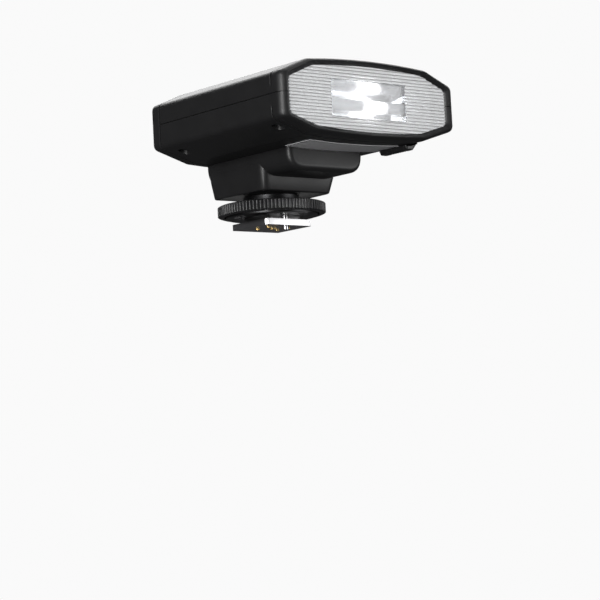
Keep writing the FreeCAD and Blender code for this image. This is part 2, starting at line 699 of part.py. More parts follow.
button_columns = (button_near, button_near + button_pitch)
button_rows = (middle_z + button_pitch / 2, middle_z - button_pitch / 2)
buttons = {
    "mode_button": (button_columns[0], button_rows[0]),
    "plus_button": (button_columns[1], button_rows[0]),
    "test_button": (button_columns[0], button_rows[1]),
    "minus_button": (button_columns[1], button_rows[1]),
}
cover_inner = rear_reach - wall
screen_x = (-screen_left, screen_wide - screen_left)
screen_z = (middle_z - screen_tall / 2, middle_z + screen_tall / 2)
knob_low = middle_z - switch_tall / 2 - switch_travel / 2
board_face = board_back + board_thick


def rear_cover():
    through = (cover_inner - over, rear_reach + over)
    body = cut(
        octagon(0, 0, seam_y + seam / 2, rear_reach),
        octagon(wall, wall, seam_y - over, cover_inner, crowned=False),
        box(screen_x, through, screen_z),
        box(
            (switch_x - switch_half - clear, switch_x + switch_half + clear),
            through,
            (knob_low - clear, knob_low + switch_tall + switch_travel + clear),
        ),
    )
    holes = [rod("Y", spot, button_radius + clear, *through) for spot in buttons.values()]
    return cut(body, *holes)


piece("rear_cover", rear_cover())

window_x = (screen_x[0] + snug, screen_x[1] - snug)
window_z = (screen_z[0] + snug, screen_z[1] - snug)
piece("screen_window", box(window_x, (cover_inner, rear_reach - window_recess), window_z))
panel_x = (screen_x[0] + panel_inset, screen_x[1] - panel_inset)
panel_z = (screen_z[0] + panel_inset, screen_z[1] - panel_inset)
piece("screen_panel", box(panel_x, (board_face, cover_inner - panel_gap), panel_z))

board_inset = wall + board_room
piece("display_board", octagon(board_inset, board_inset, board_back, board_face, crowned=False))

stem_back = board_face + switch_deep + button_travel + clear
for name, spot in buttons.items():
    cap = rod("Y", spot, button_radius, stem_back, rear_reach + button_proud)
    flange_y = (cover_inner - clear - button_flange_thick, cover_inner - clear)
    flange = rod("Y", spot, button_radius + button_flange, *flange_y)
    piece(name, fuse(cap, flange))
tactile = [
    box(
        (x - tactile_half, x + tactile_half),
        (board_face, board_face + switch_deep),
        (z - tactile_half, z + tactile_half),
    )
    for x, z in buttons.values()
]
piece("tactile_switches", group(*tactile))

knob = box(
    (switch_x - switch_half, switch_x + switch_half),
    (board_face + switch_deep + clear, rear_reach + knob_proud),
    (knob_low, knob_low + switch_tall),
)
knob_flange_half = switch_half + knob_flange_wide
knob_flange = box(
    (switch_x - knob_flange_half, switch_x + knob_flange_half),
    (cover_inner - clear - knob_flange_thick, cover_inner - clear),
    (knob_low - knob_flange_wide, knob_low + switch_tall + knob_flange_wide),
)
piece("power_switch", fuse(knob, knob_flange))
switch_base = box(
    (switch_x - base_half, switch_x + base_half),
    (board_face, board_face + switch_deep),
    (middle_z - base_rise, middle_z + base_rise),
)
piece("switch_base", switch_base)

# ---------------------------------------------------------------------------------------------------------
# Light: lens, reflector, flash tube and its end caps, holder
# ---------------------------------------------------------------------------------------------------------

flange_front = inner_front + film
flange_back = flange_front + flange_deep
piece(
    "fresnel_lens",
    fuse(
        lens_shape(-snug, -snug, lens_face, flange_front),
        lens_shape(lens_flange, lens_inset - wall - snug, flange_front, flange_back),
    ),
)

mouth_y = flange_back + snug
throat_y = mouth_y + reflector_deep
tube_y = throat_y - tube_back
light_z = middle_z + light_rise


def trough(inset, front, back):
    """Tapered block from the reflector's mouth to its back, drawn in by inset."""
    sections = []
    for y, half, rise in ((front, mouth_half, mouth_rise), (back, throat_half, throat_rise)):
        half = half - inset
        low, high = light_z - rise + inset, light_z + rise - inset
        sections.append(outline("XZ", y, [(half, low), (half, high), (-half, high), (-half, low)]))
    loft = new("Part::Loft", "Trough")
    loft.Sections = sections
    loft.Solid = True
    loft.Ruled = True
    return loft


reflector = cut(
    trough(0, mouth_y, throat_y),
    trough(reflector_wall, mouth_y - hair, throat_y - reflector_wall),
    rod("X", (tube_y, light_z), tube_radius + clear, -beyond, beyond),
)
piece("reflector", reflector)
piece("flash_tube", rod("X", (tube_y, light_z), tube_radius, -tube_half, tube_half))
cap_inner = tube_half - cap_over
tube_room = rod("X", (tube_y, light_z), tube_radius + cap_gap, -tube_half - cap_gap, tube_half + cap_gap)
cap_ends = ((cap_inner, cap_inner + cap_long), (-cap_inner - cap_long, -cap_inner))
caps = [cut(rod("X", (tube_y, light_z), tube_radius + cap_wall, *ends), tube_room) for ends in cap_ends]
piece("tube_end_caps", group(*caps))
holder_inset = wall + clear
holder = octagon(holder_inset, holder_inset, throat_y, throat_y + holder_thick, crowned=False)
piece("reflector_holder", holder)

# ---------------------------------------------------------------------------------------------------------
# Batteries, their tray and contacts
# ---------------------------------------------------------------------------------------------------------

tray_closed = -cell_start - contact_room - tray_end
cell_axes = ((cell_front_y, cell_height), (cell_rear_y, cell_height))
tray_block = common(
    box((tray_closed, tray_mouth), (tray_front, tray_rear), (0, tray_top)),
    octagon(wall + tray_side, wall + tray_side, tray_front - over, tray_rear + over, crowned=False),
)
tunnels = [rod("X", axis, tunnel, tray_closed + tray_end, tray_mouth + over) for axis in cell_axes]
piece("battery_tray", cut(tray_block, *tunnels))


def cell(axis, nub_at_mouth):
    """AA cell; the nub points to the door or away from it."""
    start = -cell_start if nub_at_mouth else -cell_start + nub_tall
    can = rod("X", axis, cell_radius, start, start + cell_body)
    if nub_at_mouth:
        nub = rod("X", axis, nub_radius, start + cell_body, start + cell_body + nub_tall)
    else:
        nub = rod("X", axis, nub_radius, -cell_start, start)
    return fuse(can, nub)


piece("front_cell", cell(cell_axes[0], True))
piece("rear_cell", cell(cell_axes[1], False))

closed_face = -cell_start - contact_room


def contact_plate(axis, low):
    """Square contact plate across a tunnel's end."""
    return box(
        (low, low + plate_thick),
        (axis[0] - plate_half, axis[0] + plate_half),
        (axis[1] - plate_half, axis[1] + plate_half),
    )


coil_turns = 5
coil_touch = 1.04  # rings this much thicker than their pitch, so that they touch


def coil(axis, start, end):
    """Conical contact spring, closed up as it is when it holds a cell: rings that touch and shrink towards
    the cell."""
    wire = (end - start) / (coil_turns * 2)
    rings = []
    for turn in range(coil_turns):
        ring = new("Part::Torus", "Ring")
        bind(ring, "Radius1", plate_half - coil_inset - coil_step * turn)
        bind(ring, "Radius2", wire * coil_touch)
        rings.append(place(ring, start + wire * (2 * turn + 1), *axis, TURN["X"]))
    return fuse(*rings)


piece("battery_contacts", group(*[contact_plate(axis, closed_face) for axis in cell_axes]))
piece("contact_spring", coil(cell_axes[0], closed_face + plate_thick + film, -cell_start - snug))
stud_radius = nub_radius - stud_inset
piece("contact_stud", rod("X", cell_axes[1], stud_radius, closed_face + plate_thick, -cell_start - film))

# ---------------------------------------------------------------------------------------------------------
# Battery door, its hinge pin, the contacts on its inside, and the latch on the underside
# ---------------------------------------------------------------------------------------------------------


def battery_door():
    panel = common(
        cut(
            octagon(0, 0, door_front, tray_rear - clear),
            octagon(wall, wall, door_front - over, tray_rear + over, crowned=False),
        ),
        box(
            (tray_mouth - door_lap + clear, head_half + over),
            (door_front, tray_rear - clear),
            (door_low, door_high),
        ),
    )
    arm_front = tray_rear - clear - arm_lap
    arm = box((hinge_x - arm_in, head_half), (arm_front, hinge_y), (knuckle_low, knuckle_high))
    knuckle = rod("Z", (hinge_x, hinge_y), knuckle_radius, knuckle_low, knuckle_high)
    return cut(
        fuse(panel, arm, knuckle),
        rod("Z", (hinge_x, hinge_y), pin_radius + running, knuckle_low - over, knuckle_high + over),
    )


piece("battery_door", battery_door())
pin_ends = (knuckle_low - clear - pin_engage, knuckle_high + clear + pin_engage)
piece("hinge_pin", rod("Z", (hinge_x, hinge_y), pin_radius, *pin_ends))

door_inner = head_half - wall
bridge_face = door_inner - plate_thick
bridge = box(
    (bridge_face, door_inner),
    (cell_front_y - plate_half, cell_rear_y + plate_half),
    (cell_height - plate_half, cell_height + plate_half),
)
cell_mouth = cell_body + nub_tall - cell_start
door_stud = rod("X", cell_axes[0], stud_radius, cell_mouth + clear, bridge_face)
door_coil = coil(cell_axes[1], cell_mouth + clear, bridge_face)
piece("door_contacts", group(bridge, door_stud, door_coil))


crown_share = 0.45  # share of the bottom face's crown that is left at the latch


def door_latch():
    """Thumb latch: a low wedge under the right-hand corner, a stem through the shell's slot and a foot."""
    low = floor_edge - latch_drop
    knob_top = floor_edge - floor_crown * crown_share
    knob = prism("XZ", -latch_front, latch_long - latch_front, [
        (latch_near, knob_top), (latch_near + latch_draft, low), (latch_near + latch_flat, low),
        (latch_near + latch_wide, floor_edge + latch_outer_rise), (floor_half, floor_edge - clear),
    ])
    stem_x = latch_near + slot_in + clear
    stem_y = (stem_in - latch_front, stem_in - latch_front + latch_stem_long)
    foot_low = floor_inner + latch_foot_gap
    foot_high = foot_low + latch_foot_thick
    stem = box((stem_x, stem_x + latch_stem), stem_y, (low + clear, (foot_low + foot_high) / 2))
    foot = box((latch_near - latch_foot_in, latch_near + latch_foot_out), stem_y, (foot_low, foot_high))
    return fuse(knob, stem, foot)


piece("door_latch", door_latch())

# ---------------------------------------------------------------------------------------------------------
# Electronics
# ---------------------------------------------------------------------------------------------------------

main_top = tray_top + board_thick
main_y = (tray_front + main_inset, tray_rear - main_inset)
piece("main_board", box((-main_half, main_half), main_y, (tray_top, main_top)))
# each chip: its centre across and along the board, its width and its depth
chip_spots = [(-12, -26, 9, 9), (4, -24, 6, 5), (14, -12, 7, 6), (-6, -11, 5, 4), (-16, -12, 4, 6)]
chips = [
    box((x - wide / 2, x + wide / 2), (y - deep / 2, y + deep / 2), (main_top, main_top + chip_tall))
    for x, y, wide, deep in chip_spots
]
piece("board_chips", group(*chips))

power_low = floor_inner + clear
power_top = power_low + board_thick
power_y = (tray_rear + power_ahead, board_back - power_behind)
piece("power_board", box((-power_half, power_half), power_y, (power_low, power_top)))
capacitor_y = tray_rear + capacitor_radius + capacitor_ahead
capacitor_z = roof_inner - capacitor_radius - capacitor_over
piece(
    "flash_capacitor",
    rod("X", (capacitor_y, capacitor_z), capacitor_radius, -capacitor_half, capacitor_half),
)
core_top = capacitor_z - capacitor_radius - capacitor_under
core = box(
    (-core_left, core_wide - core_left),
    (tray_rear + core_ahead, tray_rear + core_ahead + core_deep),
    (power_top, core_top),
)
piece("step_up_transformer", core)
trigger_spot = (trigger_x, tray_rear + trigger_behind)
piece("trigger_transformer", rod("Z", trigger_spot, trigger_radius, power_top, core_top))
transistor = box(
    (transistor_x, transistor_x + transistor_wide),
    (tray_rear + transistor_behind, tray_rear + transistor_behind + transistor_deep),
    (power_top, power_top + transistor_tall),
)
piece("power_transistor", transistor)

# ---------------------------------------------------------------------------------------------------------
# Neck: a round-cornered upper block that overhangs forwards and a lower block with a sloping back
# ---------------------------------------------------------------------------------------------------------


def tub(inset, front, rear, low, high):
    """Upper block: straight sides and large round lower corners, as a prism along Y."""
    half = neck_half - inset
    bend = neck_round - inset
    sagitta = bend * (1 - math.sqrt(0.5))
    return prism("XZ", front, rear, [
        (half - bend, low, sagitta), (half, low + bend), (half, high),
        (-half, high), (-half, low + bend, sagitta), (bend - half, low),
    ])


def lower_block(inset, low, high):
    """Lower block as a prism along X; its back slopes forwards on the way down."""
    slope = (upper_rear - lower_rear) / (floor_edge - neck_bottom)
    rear_low = lower_rear + slope * (low - neck_bottom) - inset
    rear_high = lower_rear + slope * (high - neck_bottom) - inset
    half = lower_half - inset
    return prism("YZ", -half, half, [
        (-lower_front + inset, low), (rear_low, low), (rear_high, high), (-lower_front + inset, high),
    ])


def pedestal():
    top = floor_edge + over
    tub_rear = upper_rear - neck_step
    outside = fuse(
        tub(as_size(0), -neck_front, tub_rear, block_low, top), lower_block(as_size(0), neck_bottom, top)
    )
    inside = fuse(
        tub(neck_wall, neck_wall - neck_front, tub_rear - neck_wall, block_low + neck_wall, top + over),
        lower_block(neck_wall, neck_bottom + neck_floor, top + over),
    )
    hollow = cut(outside, inside)
    boss_low = block_low + neck_boss_low
    bosses = [rod("Z", spot, neck_boss_radius, boss_low, top) for spot in neck_screw_spots]
    body = fuse(hollow, common(fuse(*bosses), outside))
    pilot_low = block_low + neck_wall
    pilots = [rod("Z", spot, screw_radius + snug, pilot_low, beyond) for spot in neck_screw_spots]
    stem_hole = rod("Z", (0, 0), stem_radius + snug, 0, neck_bottom + neck_floor + over)
    screw_low = neck_bottom + screw_tip - clear
    flange_screws = [rod("Z", spot, screw_radius + snug, screw_low, beyond) for spot in stem_screw_spots]
    head = octagon(-cap_gap, -cap_gap, -beyond, beyond)
    return cut(body, head, stem_hole, *pilots, *flange_screws)


stem_screw_x = stem_flange - stem_screw_in
stem_screw_rear = flange_rear - stem_screw_in * flange_rear / stem_flange
stem_screw_spots = [(stem_screw_x * side, y) for side in both for y in (-stem_screw_x, stem_screw_rear)]
piece("pedestal", pedestal())
neck_screws = []
for spot in neck_screw_spots:
    head_low = floor_inner - head_tall
    shank = rod("Z", spot, screw_radius, block_low + neck_wall + clear, head_low)
    neck_screws.append(fuse(shank, rod("Z", spot, screw_head, head_low, floor_inner)))
piece("pedestal_screws", group(*neck_screws))

# ---------------------------------------------------------------------------------------------------------
# Threaded stem, locking wheel, clamp plate, foot, lock pin and contacts
# ---------------------------------------------------------------------------------------------------------

flange_low = neck_bottom + neck_floor
flange_high = flange_low + flange_thick
flange = box((-stem_flange, stem_flange), (-stem_flange, flange_rear), (flange_low, flange_high))
lock_top = stem_low - lock_tip
lock_room = rod("Z", (0, -lock_ahead), lock_radius + sliding, -over, lock_top + lock_rise + clear)
stem = cut(
    fuse(rod("Z", (0, 0), stem_radius, stem_low, flange_low + hair), flange),
    rod("Z", (0, 0), stem_bore, 0, beyond),
    lock_room,
    *[rod("Z", spot, screw_radius + snug, 0, beyond) for spot in stem_screw_spots],
)
piece("threaded_stem", stem)
stem_screws = []
for spot in stem_screw_spots:
    shank = rod("Z", spot, screw_radius, neck_bottom + screw_tip, flange_high)
    stem_screws.append(fuse(shank, rod("Z", spot, screw_head, flange_high, flange_high + head_tall)))
piece("stem_screws", group(*stem_screws))

wheel_high = wheel_low + wheel_tall
wheel = cut(
    rod("Z", (0, 0), wheel_radius, wheel_low, wheel_high),
    rod("Z", (0, 0), stem_radius + running, 0, beyond),
    rod("Z", (0, 0), wheel_radius - wheel_rim, wheel_low - over, wheel_low + wheel_hollow),
)
piece("locking_wheel", wheel)

clamp_low = rail_top + film
clamp_radius = wheel_radius - wheel_rim - clamp_room
clamp = rod("Z", (0, 0), clamp_radius, clamp_low, clamp_low + clamp_thick)
piece("clamp_plate", cut(clamp, rod("Z", (0, 0), stem_radius + running, 0, beyond)))

contact_spots = [(0, 0, contact_radius)] + [
    (side_contact_x * x, side_contact_y * y, side_contact_radius) for x in both for y in both
]


def foot_plate():
    side, front, rear = foot_wide / 2, -foot_long / 2, foot_long / 2
    plate = prism("XY", 0, foot_thick, [
        (foot_corner - side, front), (side - foot_corner, front), (side, front + foot_corner),
        (side, rear), (-side, rear), (-side, front + foot_corner),
    ])
    between_rails = box(
        (-foot_neck / 2, foot_neck / 2),
        (-foot_neck_long / 2, foot_neck_long / 2),
        (foot_thick - film, stem_low),
    )
    plug = rod("Z", (0, 0), stem_bore - film, stem_low - film, plug_top)
    holes = [rod("Z", (x, y), radius + sliding, -over, beyond) for x, y, radius in contact_spots]
    sinks = [
        rod("Z", (x, y), radius + collar_wide + sliding, sink_floor, beyond)
        for x, y, radius in contact_spots
    ]
    lock_hole = rod("Z", (0, -lock_ahead), lock_radius + sliding, -over, plug_top + over)
    return cut(fuse(plate, between_rails, plug), *holes, *sinks, lock_hole)


piece("foot_plate", foot_plate())
pins = []
for x, y, radius in contact_spots:
    shank = rod("Z", (x, y), radius, -contact_drop, pin_top)
    collar_low = sink_floor + clear
    collar = rod("Z", (x, y), radius + collar_wide, collar_low, collar_low + collar_thick)
    pins.append(fuse(shank, collar))
piece("contact_pins", group(*pins))
piece("lock_pin", rod("Z", (0, -lock_ahead), lock_radius, -lock_drop, lock_top))
piece("contact_block", rod("Z", (0, 0), stem_bore - film, pin_top + pin_room, flange_high))

# ---------------------------------------------------------------------------------------------------------
# Rating label: a thin blank plate glued to the crowned underside
# ---------------------------------------------------------------------------------------------------------

label_rear = neck_front + label_gap
label_field = box((-label_left, label_right), (-label_front, -label_rear), (0, floor_edge + over))
lowered = octagon(label_thick, -label_thick, -label_front - over, -label_rear + over)
underside = octagon(-over, 0, -label_front - over * 2, -label_rear + over * 2)
piece("rating_label", cut(common(label_field, lowered), underside))

# ---------------------------------------------------------------------------------------------------------
# Checks and export
# ---------------------------------------------------------------------------------------------------------

doc.recompute()
for thing in doc.Objects:
    faults = [state for state in thing.State if state in ("Invalid", "Error")]
    if faults:
        raise RuntimeError(f"{thing.Name} ({thing.Label}) did not build: {faults}")
os.makedirs("parts", exist_ok=True)
for thing in pieces:
    if thing.Shape.isNull() or not thing.Shape.isValid():
        raise RuntimeError(f"{thing.Label} has no valid shape")
    if not thing.Shape.Solids:
        raise RuntimeError(f"{thing.Label} holds no solid")
for thing in pieces:
    thing.Shape.exportStep(f"parts/{thing.Label}.step")
    print(f"{thing.Label}: {len(thing.Shape.Solids)} solid(s), {thing.Shape.Volume:.1f} mm3")
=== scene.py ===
"""Compact shoe-mount flash: the look of every piece, built around its packed design model.

Lengths are millimetres in the model's own frame (+Z up, the light comes out towards -Y) until a mesh is made.
"""
import math

import bmesh
import bpy
import numpy as np
from mathutils import Matrix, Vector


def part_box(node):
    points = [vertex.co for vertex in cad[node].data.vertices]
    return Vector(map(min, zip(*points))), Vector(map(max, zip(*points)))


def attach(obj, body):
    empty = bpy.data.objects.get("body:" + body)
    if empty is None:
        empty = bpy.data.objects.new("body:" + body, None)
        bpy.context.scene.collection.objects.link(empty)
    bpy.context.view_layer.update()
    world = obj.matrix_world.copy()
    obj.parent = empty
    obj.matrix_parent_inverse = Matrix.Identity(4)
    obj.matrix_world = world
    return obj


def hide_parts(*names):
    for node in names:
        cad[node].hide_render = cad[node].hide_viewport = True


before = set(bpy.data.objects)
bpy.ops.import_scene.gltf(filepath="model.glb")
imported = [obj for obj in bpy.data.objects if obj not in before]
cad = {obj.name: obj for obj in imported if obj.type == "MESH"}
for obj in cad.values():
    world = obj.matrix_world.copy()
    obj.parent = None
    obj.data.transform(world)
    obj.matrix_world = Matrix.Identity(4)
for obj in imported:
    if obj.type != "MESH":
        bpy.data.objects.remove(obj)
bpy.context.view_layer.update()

# ----------------------------------------
# Studio. The flash hangs above a pale floor in near-white surroundings. A tall strip light on its left, a
# wide panel behind it, a soft light above and weak fills in front and on its left model it. The camera stands
# at its front left, a little below.
# ----------------------------------------
MM = 0.001
scene = bpy.context.scene


def linked(name, data):
    """New object that holds the data, linked to the scene."""
    obj = bpy.data.objects.new(name, data)
    scene.collection.objects.link(obj)
    return obj


camera_place = np.array([-450.2, -563.2, -88.6]) * MM
camera_azimuth, camera_rise, camera_roll = (math.radians(a) for a in (-39.24, -5.15, -3.07))
backward = np.array([
    math.sin(camera_azimuth) * math.cos(camera_rise),
    -math.cos(camera_azimuth) * math.cos(camera_rise),
    math.sin(camera_rise),
])
level = np.cross(-backward, [0.0, 0.0, 1.0])
level /= np.linalg.norm(level)
upright = np.cross(level, -backward)
camera_right = math.cos(camera_roll) * level + math.sin(camera_roll) * upright
camera_up = math.cos(camera_roll) * upright - math.sin(camera_roll) * level
camera_matrix = np.eye(4)
camera_matrix[:3] = np.stack([camera_right, camera_up, backward, camera_place], axis=1)
camera_data = bpy.data.cameras.new("camera")
camera_data.sensor_width = 36.0
camera_data.lens = 134.8
camera_data.clip_start = 0.05
scene.camera = linked("camera", camera_data)
scene.camera.matrix_world = Matrix(camera_matrix.tolist())
scene.view_settings.view_transform = "Standard"

world = bpy.data.worlds.new("pale_studio")
scene.world = world
world.use_nodes = True
world_nodes = world.node_tree.nodes
world_nodes.clear()
seen = world_nodes.new("ShaderNodeBackground")
seen.inputs["Color"].default_value = (0.955, 0.955, 0.955, 1)
felt = world_nodes.new("ShaderNodeBackground")
felt.inputs["Color"].default_value = (0.05, 0.05, 0.052, 1)
ray = world_nodes.new("ShaderNodeLightPath")
either = world_nodes.new("ShaderNodeMixShader")
world_out = world_nodes.new("ShaderNodeOutputWorld")
world.node_tree.links.new(ray.outputs["Is Camera Ray"], either.inputs[0])
world.node_tree.links.new(felt.outputs[0], either.inputs[1])
world.node_tree.links.new(seen.outputs[0], either.inputs[2])
world.node_tree.links.new(either.outputs[0], world_out.inputs["Surface"])


def soft_light(name, direction, distance, wide, tall, radiance, aim=(0, -18, 28)):
    """Area light at a distance in metres from the aim point along a direction, facing the aim point. Its power
    is radiance x area x pi, so the same radiance looks equally bright in reflections at any size."""
    aim = np.array(aim) * MM
    outward = np.array(direction, float)
    outward /= np.linalg.norm(outward)
    across = np.cross([0.0, 0.0, 1.0], outward)
    across /= np.linalg.norm(across)
    light = bpy.data.lights.new(name, "AREA")
    light.shape = "RECTANGLE"
    light.size, light.size_y = wide, tall
    light.energy = radiance * wide * tall * math.pi
    lamp = linked(name, light)
    place = np.eye(4)
    place[:3] = np.stack([across, np.cross(outward, across), outward, aim + outward * distance], axis=1)
    lamp.matrix_world = Matrix(place.tolist())
    lamp.visible_camera = False


soft_light("strip_left", (-0.88, -0.48, -0.1), 1.2, 0.24, 1.3, 16.5)
soft_light("panel_behind", (0.51, 0.77, 0.42), 1.8, 2.2, 1.3, 3.2)
soft_light("top", (0.1, 0.1, 1.0), 1.5, 1.4, 1.4, 0.8)
soft_light("front_fill", (0.63, -0.77, 0.02), 1.6, 1.1, 1.1, 2.9)
soft_light("left_fill", (-1.0, -0.2, 0.1), 1.8, 1.2, 0.9, 1.4)


def clean(mesh):
    """Merges doubled points and turns the faces outwards."""
    shape = bmesh.new()
    shape.from_mesh(mesh)
    bmesh.ops.remove_doubles(shape, verts=shape.verts, dist=1e-7)
    bmesh.ops.recalc_face_normals(shape, faces=shape.faces)
    shape.to_mesh(mesh)
    shape.free()


def mesh_object(name, points, faces):
    """Mesh object from points in millimetres and faces given as point numbers."""
    mesh = bpy.data.meshes.new(name)
    mesh.from_pydata((np.asarray(points) * MM).tolist(), [], [tuple(int(i) for i in f) for f in faces])
    clean(mesh)
    return linked(name, mesh)


def add_node(made, kind, **settings):
    """New node in a material, with its settings."""
    node = made.node_tree.nodes.new("ShaderNode" + kind)
    for setting, value in settings.items():
        setattr(node, setting, value)
    return node


def drive(made, socket, source):
    """Drives a socket of a material's shader by another node's output."""
    made.node_tree.links.new(source, made.node_tree.nodes["Principled BSDF"].inputs[socket])


def coordinate(made, axis):
    """One Object coordinate, in metres, in a material."""
    split = add_node(made, "SeparateXYZ")
    made.node_tree.links.new(add_node(made, "TexCoord").outputs["Object"], split.inputs["Vector"])
    return split.outputs[axis]


def patterned(made, kind, scale, **settings):
    """Texture of a kind and scale over the Object coordinates of a material."""
    texture = add_node(made, "Tex" + kind, **settings)
    texture.inputs["Scale"].default_value = scale
    made.node_tree.links.new(add_node(made, "TexCoord").outputs["Object"], texture.inputs["Vector"])
    return texture


def chained(made, start, *steps):
    """Math nodes one after another: each step is an operation with its second value, or with another socket."""
    for operation, value in steps:
        node = add_node(made, "Math", operation=operation)
        made.node_tree.links.new(start, node.inputs[0])
        if isinstance(value, (int, float)):
            node.inputs[1].default_value = value
        elif value is not None:
            made.node_tree.links.new(value, node.inputs[1])
        start = node.outputs[0]
    return start


def ranged(made, socket, value, before, after, **settings):
    """Drives a socket of the shader by a value that is mapped from the range before to the range after."""
    node = add_node(made, "MapRange", **settings)
    for name, number in zip(("From Min", "From Max", "To Min", "To Max"), (*before, *after)):
        node.inputs[name].default_value = number
    made.node_tree.links.new(value, node.inputs["Value"])
    drive(made, socket, node.outputs["Result"])


def graded(made, socket, value, stops, interpolation="LINEAR"):
    """Drives a socket of the shader by colour stops (position, colour) along a value."""
    ramp = add_node(made, "ValToRGB")
    ramp.color_ramp.interpolation = interpolation
    elements = ramp.color_ramp.elements
    for place, (position, colour) in enumerate(stops):
        stop = elements[place] if place < 2 else elements.new(position)
        stop.position, stop.color = position, (*colour, 1)
    made.node_tree.links.new(value, ramp.inputs["Fac"])
    drive(made, socket, ramp.outputs["Color"])


def bumped(made, height, relief):
    """Bumps a material's surface by a height that stands relief millimetres deep."""
    bump = add_node(made, "Bump")
    bump.inputs["Distance"].default_value = relief * MM
    made.node_tree.links.new(height, bump.inputs["Height"])
    drive(made, "Normal", bump.outputs["Normal"])


def material(name, colour, roughness=0.5, metallic=0.0, grain=0.0, relief=0.0, mottle=0.0, wear=0.0, **sockets):
    """Finish made of a base colour that drifts by mottle over a few millimetres, a roughness that drifts by wear,
    and a bump whose grains are grain millimetres wide and relief millimetres deep. All of it reads Object
    coordinates; sockets are set straight on the shader."""
    made = bpy.data.materials.new(name)
    made.use_nodes = True
    shader = made.node_tree.nodes["Principled BSDF"]
    shader.inputs["Base Color"].default_value = (*colour, 1)
    shader.inputs["Roughness"].default_value = roughness
    shader.inputs["Metallic"].default_value = metallic
    for socket, value in sockets.items():
        shader.inputs[socket.replace("_", " ")].default_value = value
    if mottle or wear:
        drift = patterned(made, "Noise", 160)
        drift.inputs["Detail"].default_value = 4
    if mottle:
        spread = add_node(made, "Mix", data_type="RGBA")
        spread.inputs["A"].default_value = (*(c * (1 - mottle) for c in colour), 1)
        spread.inputs["B"].default_value = (*(min(1, c * (1 + mottle)) for c in colour), 1)
        made.node_tree.links.new(drift.outputs["Fac"], spread.inputs["Factor"])
        drive(made, "Base Color", spread.outputs["Result"])
    if wear:
        ranged(made, "Roughness", drift.outputs["Fac"], (0, 1), (roughness - wear, roughness + wear))
    if grain:
        pits = patterned(made, "Noise", 1 / (grain * MM))
        pits.inputs["Detail"].default_value = 2
        bumped(made, pits.outputs["Fac"], relief)
    return made


floor_paint = material(
    "pale_floor", (0.12, 0.12, 0.12), 0.8, mottle=0.02, Emission_Color=(1, 1, 1, 1), Emission_Strength=0.8)
floor_radius, floor_height, floor_sides = 3000, -350.0, 96
floor_angle = np.linspace(0, 2 * math.pi, floor_sides, endpoint=False)
floor_x, floor_y = floor_radius * np.cos(floor_angle), floor_radius * np.sin(floor_angle)
floor_rim = np.stack([floor_x, floor_y, np.full(floor_sides, floor_height)], axis=1)
floor = mesh_object("floor", floor_rim, [range(floor_sides)])
floor.data.materials.append(floor_paint)
floor.visible_glossy = floor.visible_diffuse = False

# ----------------------------------------
# Casing: an upper and a lower shell of matt black ABS, moulded with a fine even texture. They meet at the
# parting line and carry the front frame, whose slope leads in to the lens. Screws from below hold them.
# ----------------------------------------


def box_mm(node):
    """Lowest and highest corner of a node of the design model, in millimetres."""
    low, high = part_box(node)
    return np.array(low) / MM, np.array(high) / MM


def rounded_path(corners, radii, arc_steps=8, straight_steps=8):
    """Open path through corners. A corner P turns along (1-s)(1-s)A + 2s(1-s)P + ssB, where A and B lie the
    tangent length r tan(turn/2) before and behind P. The straights are divided evenly."""
    corners = np.asarray(corners, float)
    heading = np.diff(corners, axis=0)
    heading /= np.linalg.norm(heading, axis=1, keepdims=True)
    s = np.linspace(0, 1, arc_steps, endpoint=False)[:, None]
    t = np.linspace(0, 1, straight_steps, endpoint=False)[:, None]
    parts, start = [], corners[0]
    for corner, before, behind, radius in zip(corners[1:-1], heading[:-1], heading[1:], radii):
        reach = radius * math.tan(math.acos(max(-1.0, min(1.0, float(before @ behind)))) / 2)
        a, b = corner - reach * before, corner + reach * behind
        parts += [start + t * (a - start), (1 - s) ** 2 * a + 2 * s * (1 - s) * corner + s**2 * b]
        start = b
    return np.concatenate(parts + [start + t * (corners[-1] - start), corners[-1:]])


def grid_faces(rows, columns, wrap_rows=False, wrap_columns=False):
    """Quads between neighbouring points of a grid that is numbered row by row."""
    index = np.arange(rows * columns).reshape(rows, columns)
    if wrap_rows:
        index = np.vstack([index, index[:1]])
    if wrap_columns:
        index = np.hstack([index, index[:, :1]])
    quads = np.stack([index[:-1, :-1], index[:-1, 1:], index[1:, 1:], index[1:, :-1]], axis=-1)
    return quads.reshape(-1, 4).tolist()


def smooth(mesh, crease):
    """Shades a mesh smooth and keeps edges sharper than crease degrees crisp."""
    mesh.shade_smooth()
    mesh.set_sharp_from_angle(angle=math.radians(crease))


def tidy_mesh(obj, crease=32):
    """Cleans and smooths a finished piece."""
    clean(obj.data)
    smooth(obj.data, crease)
    return obj


def apply_modifiers(obj):
    """Turns what an object's modifiers make into its own mesh."""
    bpy.context.view_layer.update()
    result = bpy.data.meshes.new_from_object(obj.evaluated_get(bpy.context.evaluated_depsgraph_get()))
    obj.modifiers.clear()
    obj.data = result


def carve(obj, cutters, operation="DIFFERENCE"):
    """Takes the cutters out of a closed mesh (or keeps what it shares with them) and removes the cutters."""
    for cutter in cutters:
        cut = obj.modifiers.new("cut", "BOOLEAN")
        cut.operation, cut.solver, cut.object = operation, "EXACT", cutter
    apply_modifiers(obj)
    for cutter in cutters:
        bpy.data.objects.remove(cutter)
    return obj


def join(name, objects):
    """One object that holds the meshes of several."""
    shape = bmesh.new()
    for obj in objects:
        shape.from_mesh(obj.data)
    mesh = bpy.data.meshes.new(name)
    shape.to_mesh(mesh)
    shape.free()
    for obj in objects:
        bpy.data.objects.remove(obj)
    return linked(name, mesh)


AXES = {"X": (2, 0, 1), "Y": (0, 2, 1), "Z": (0, 1, 2)}


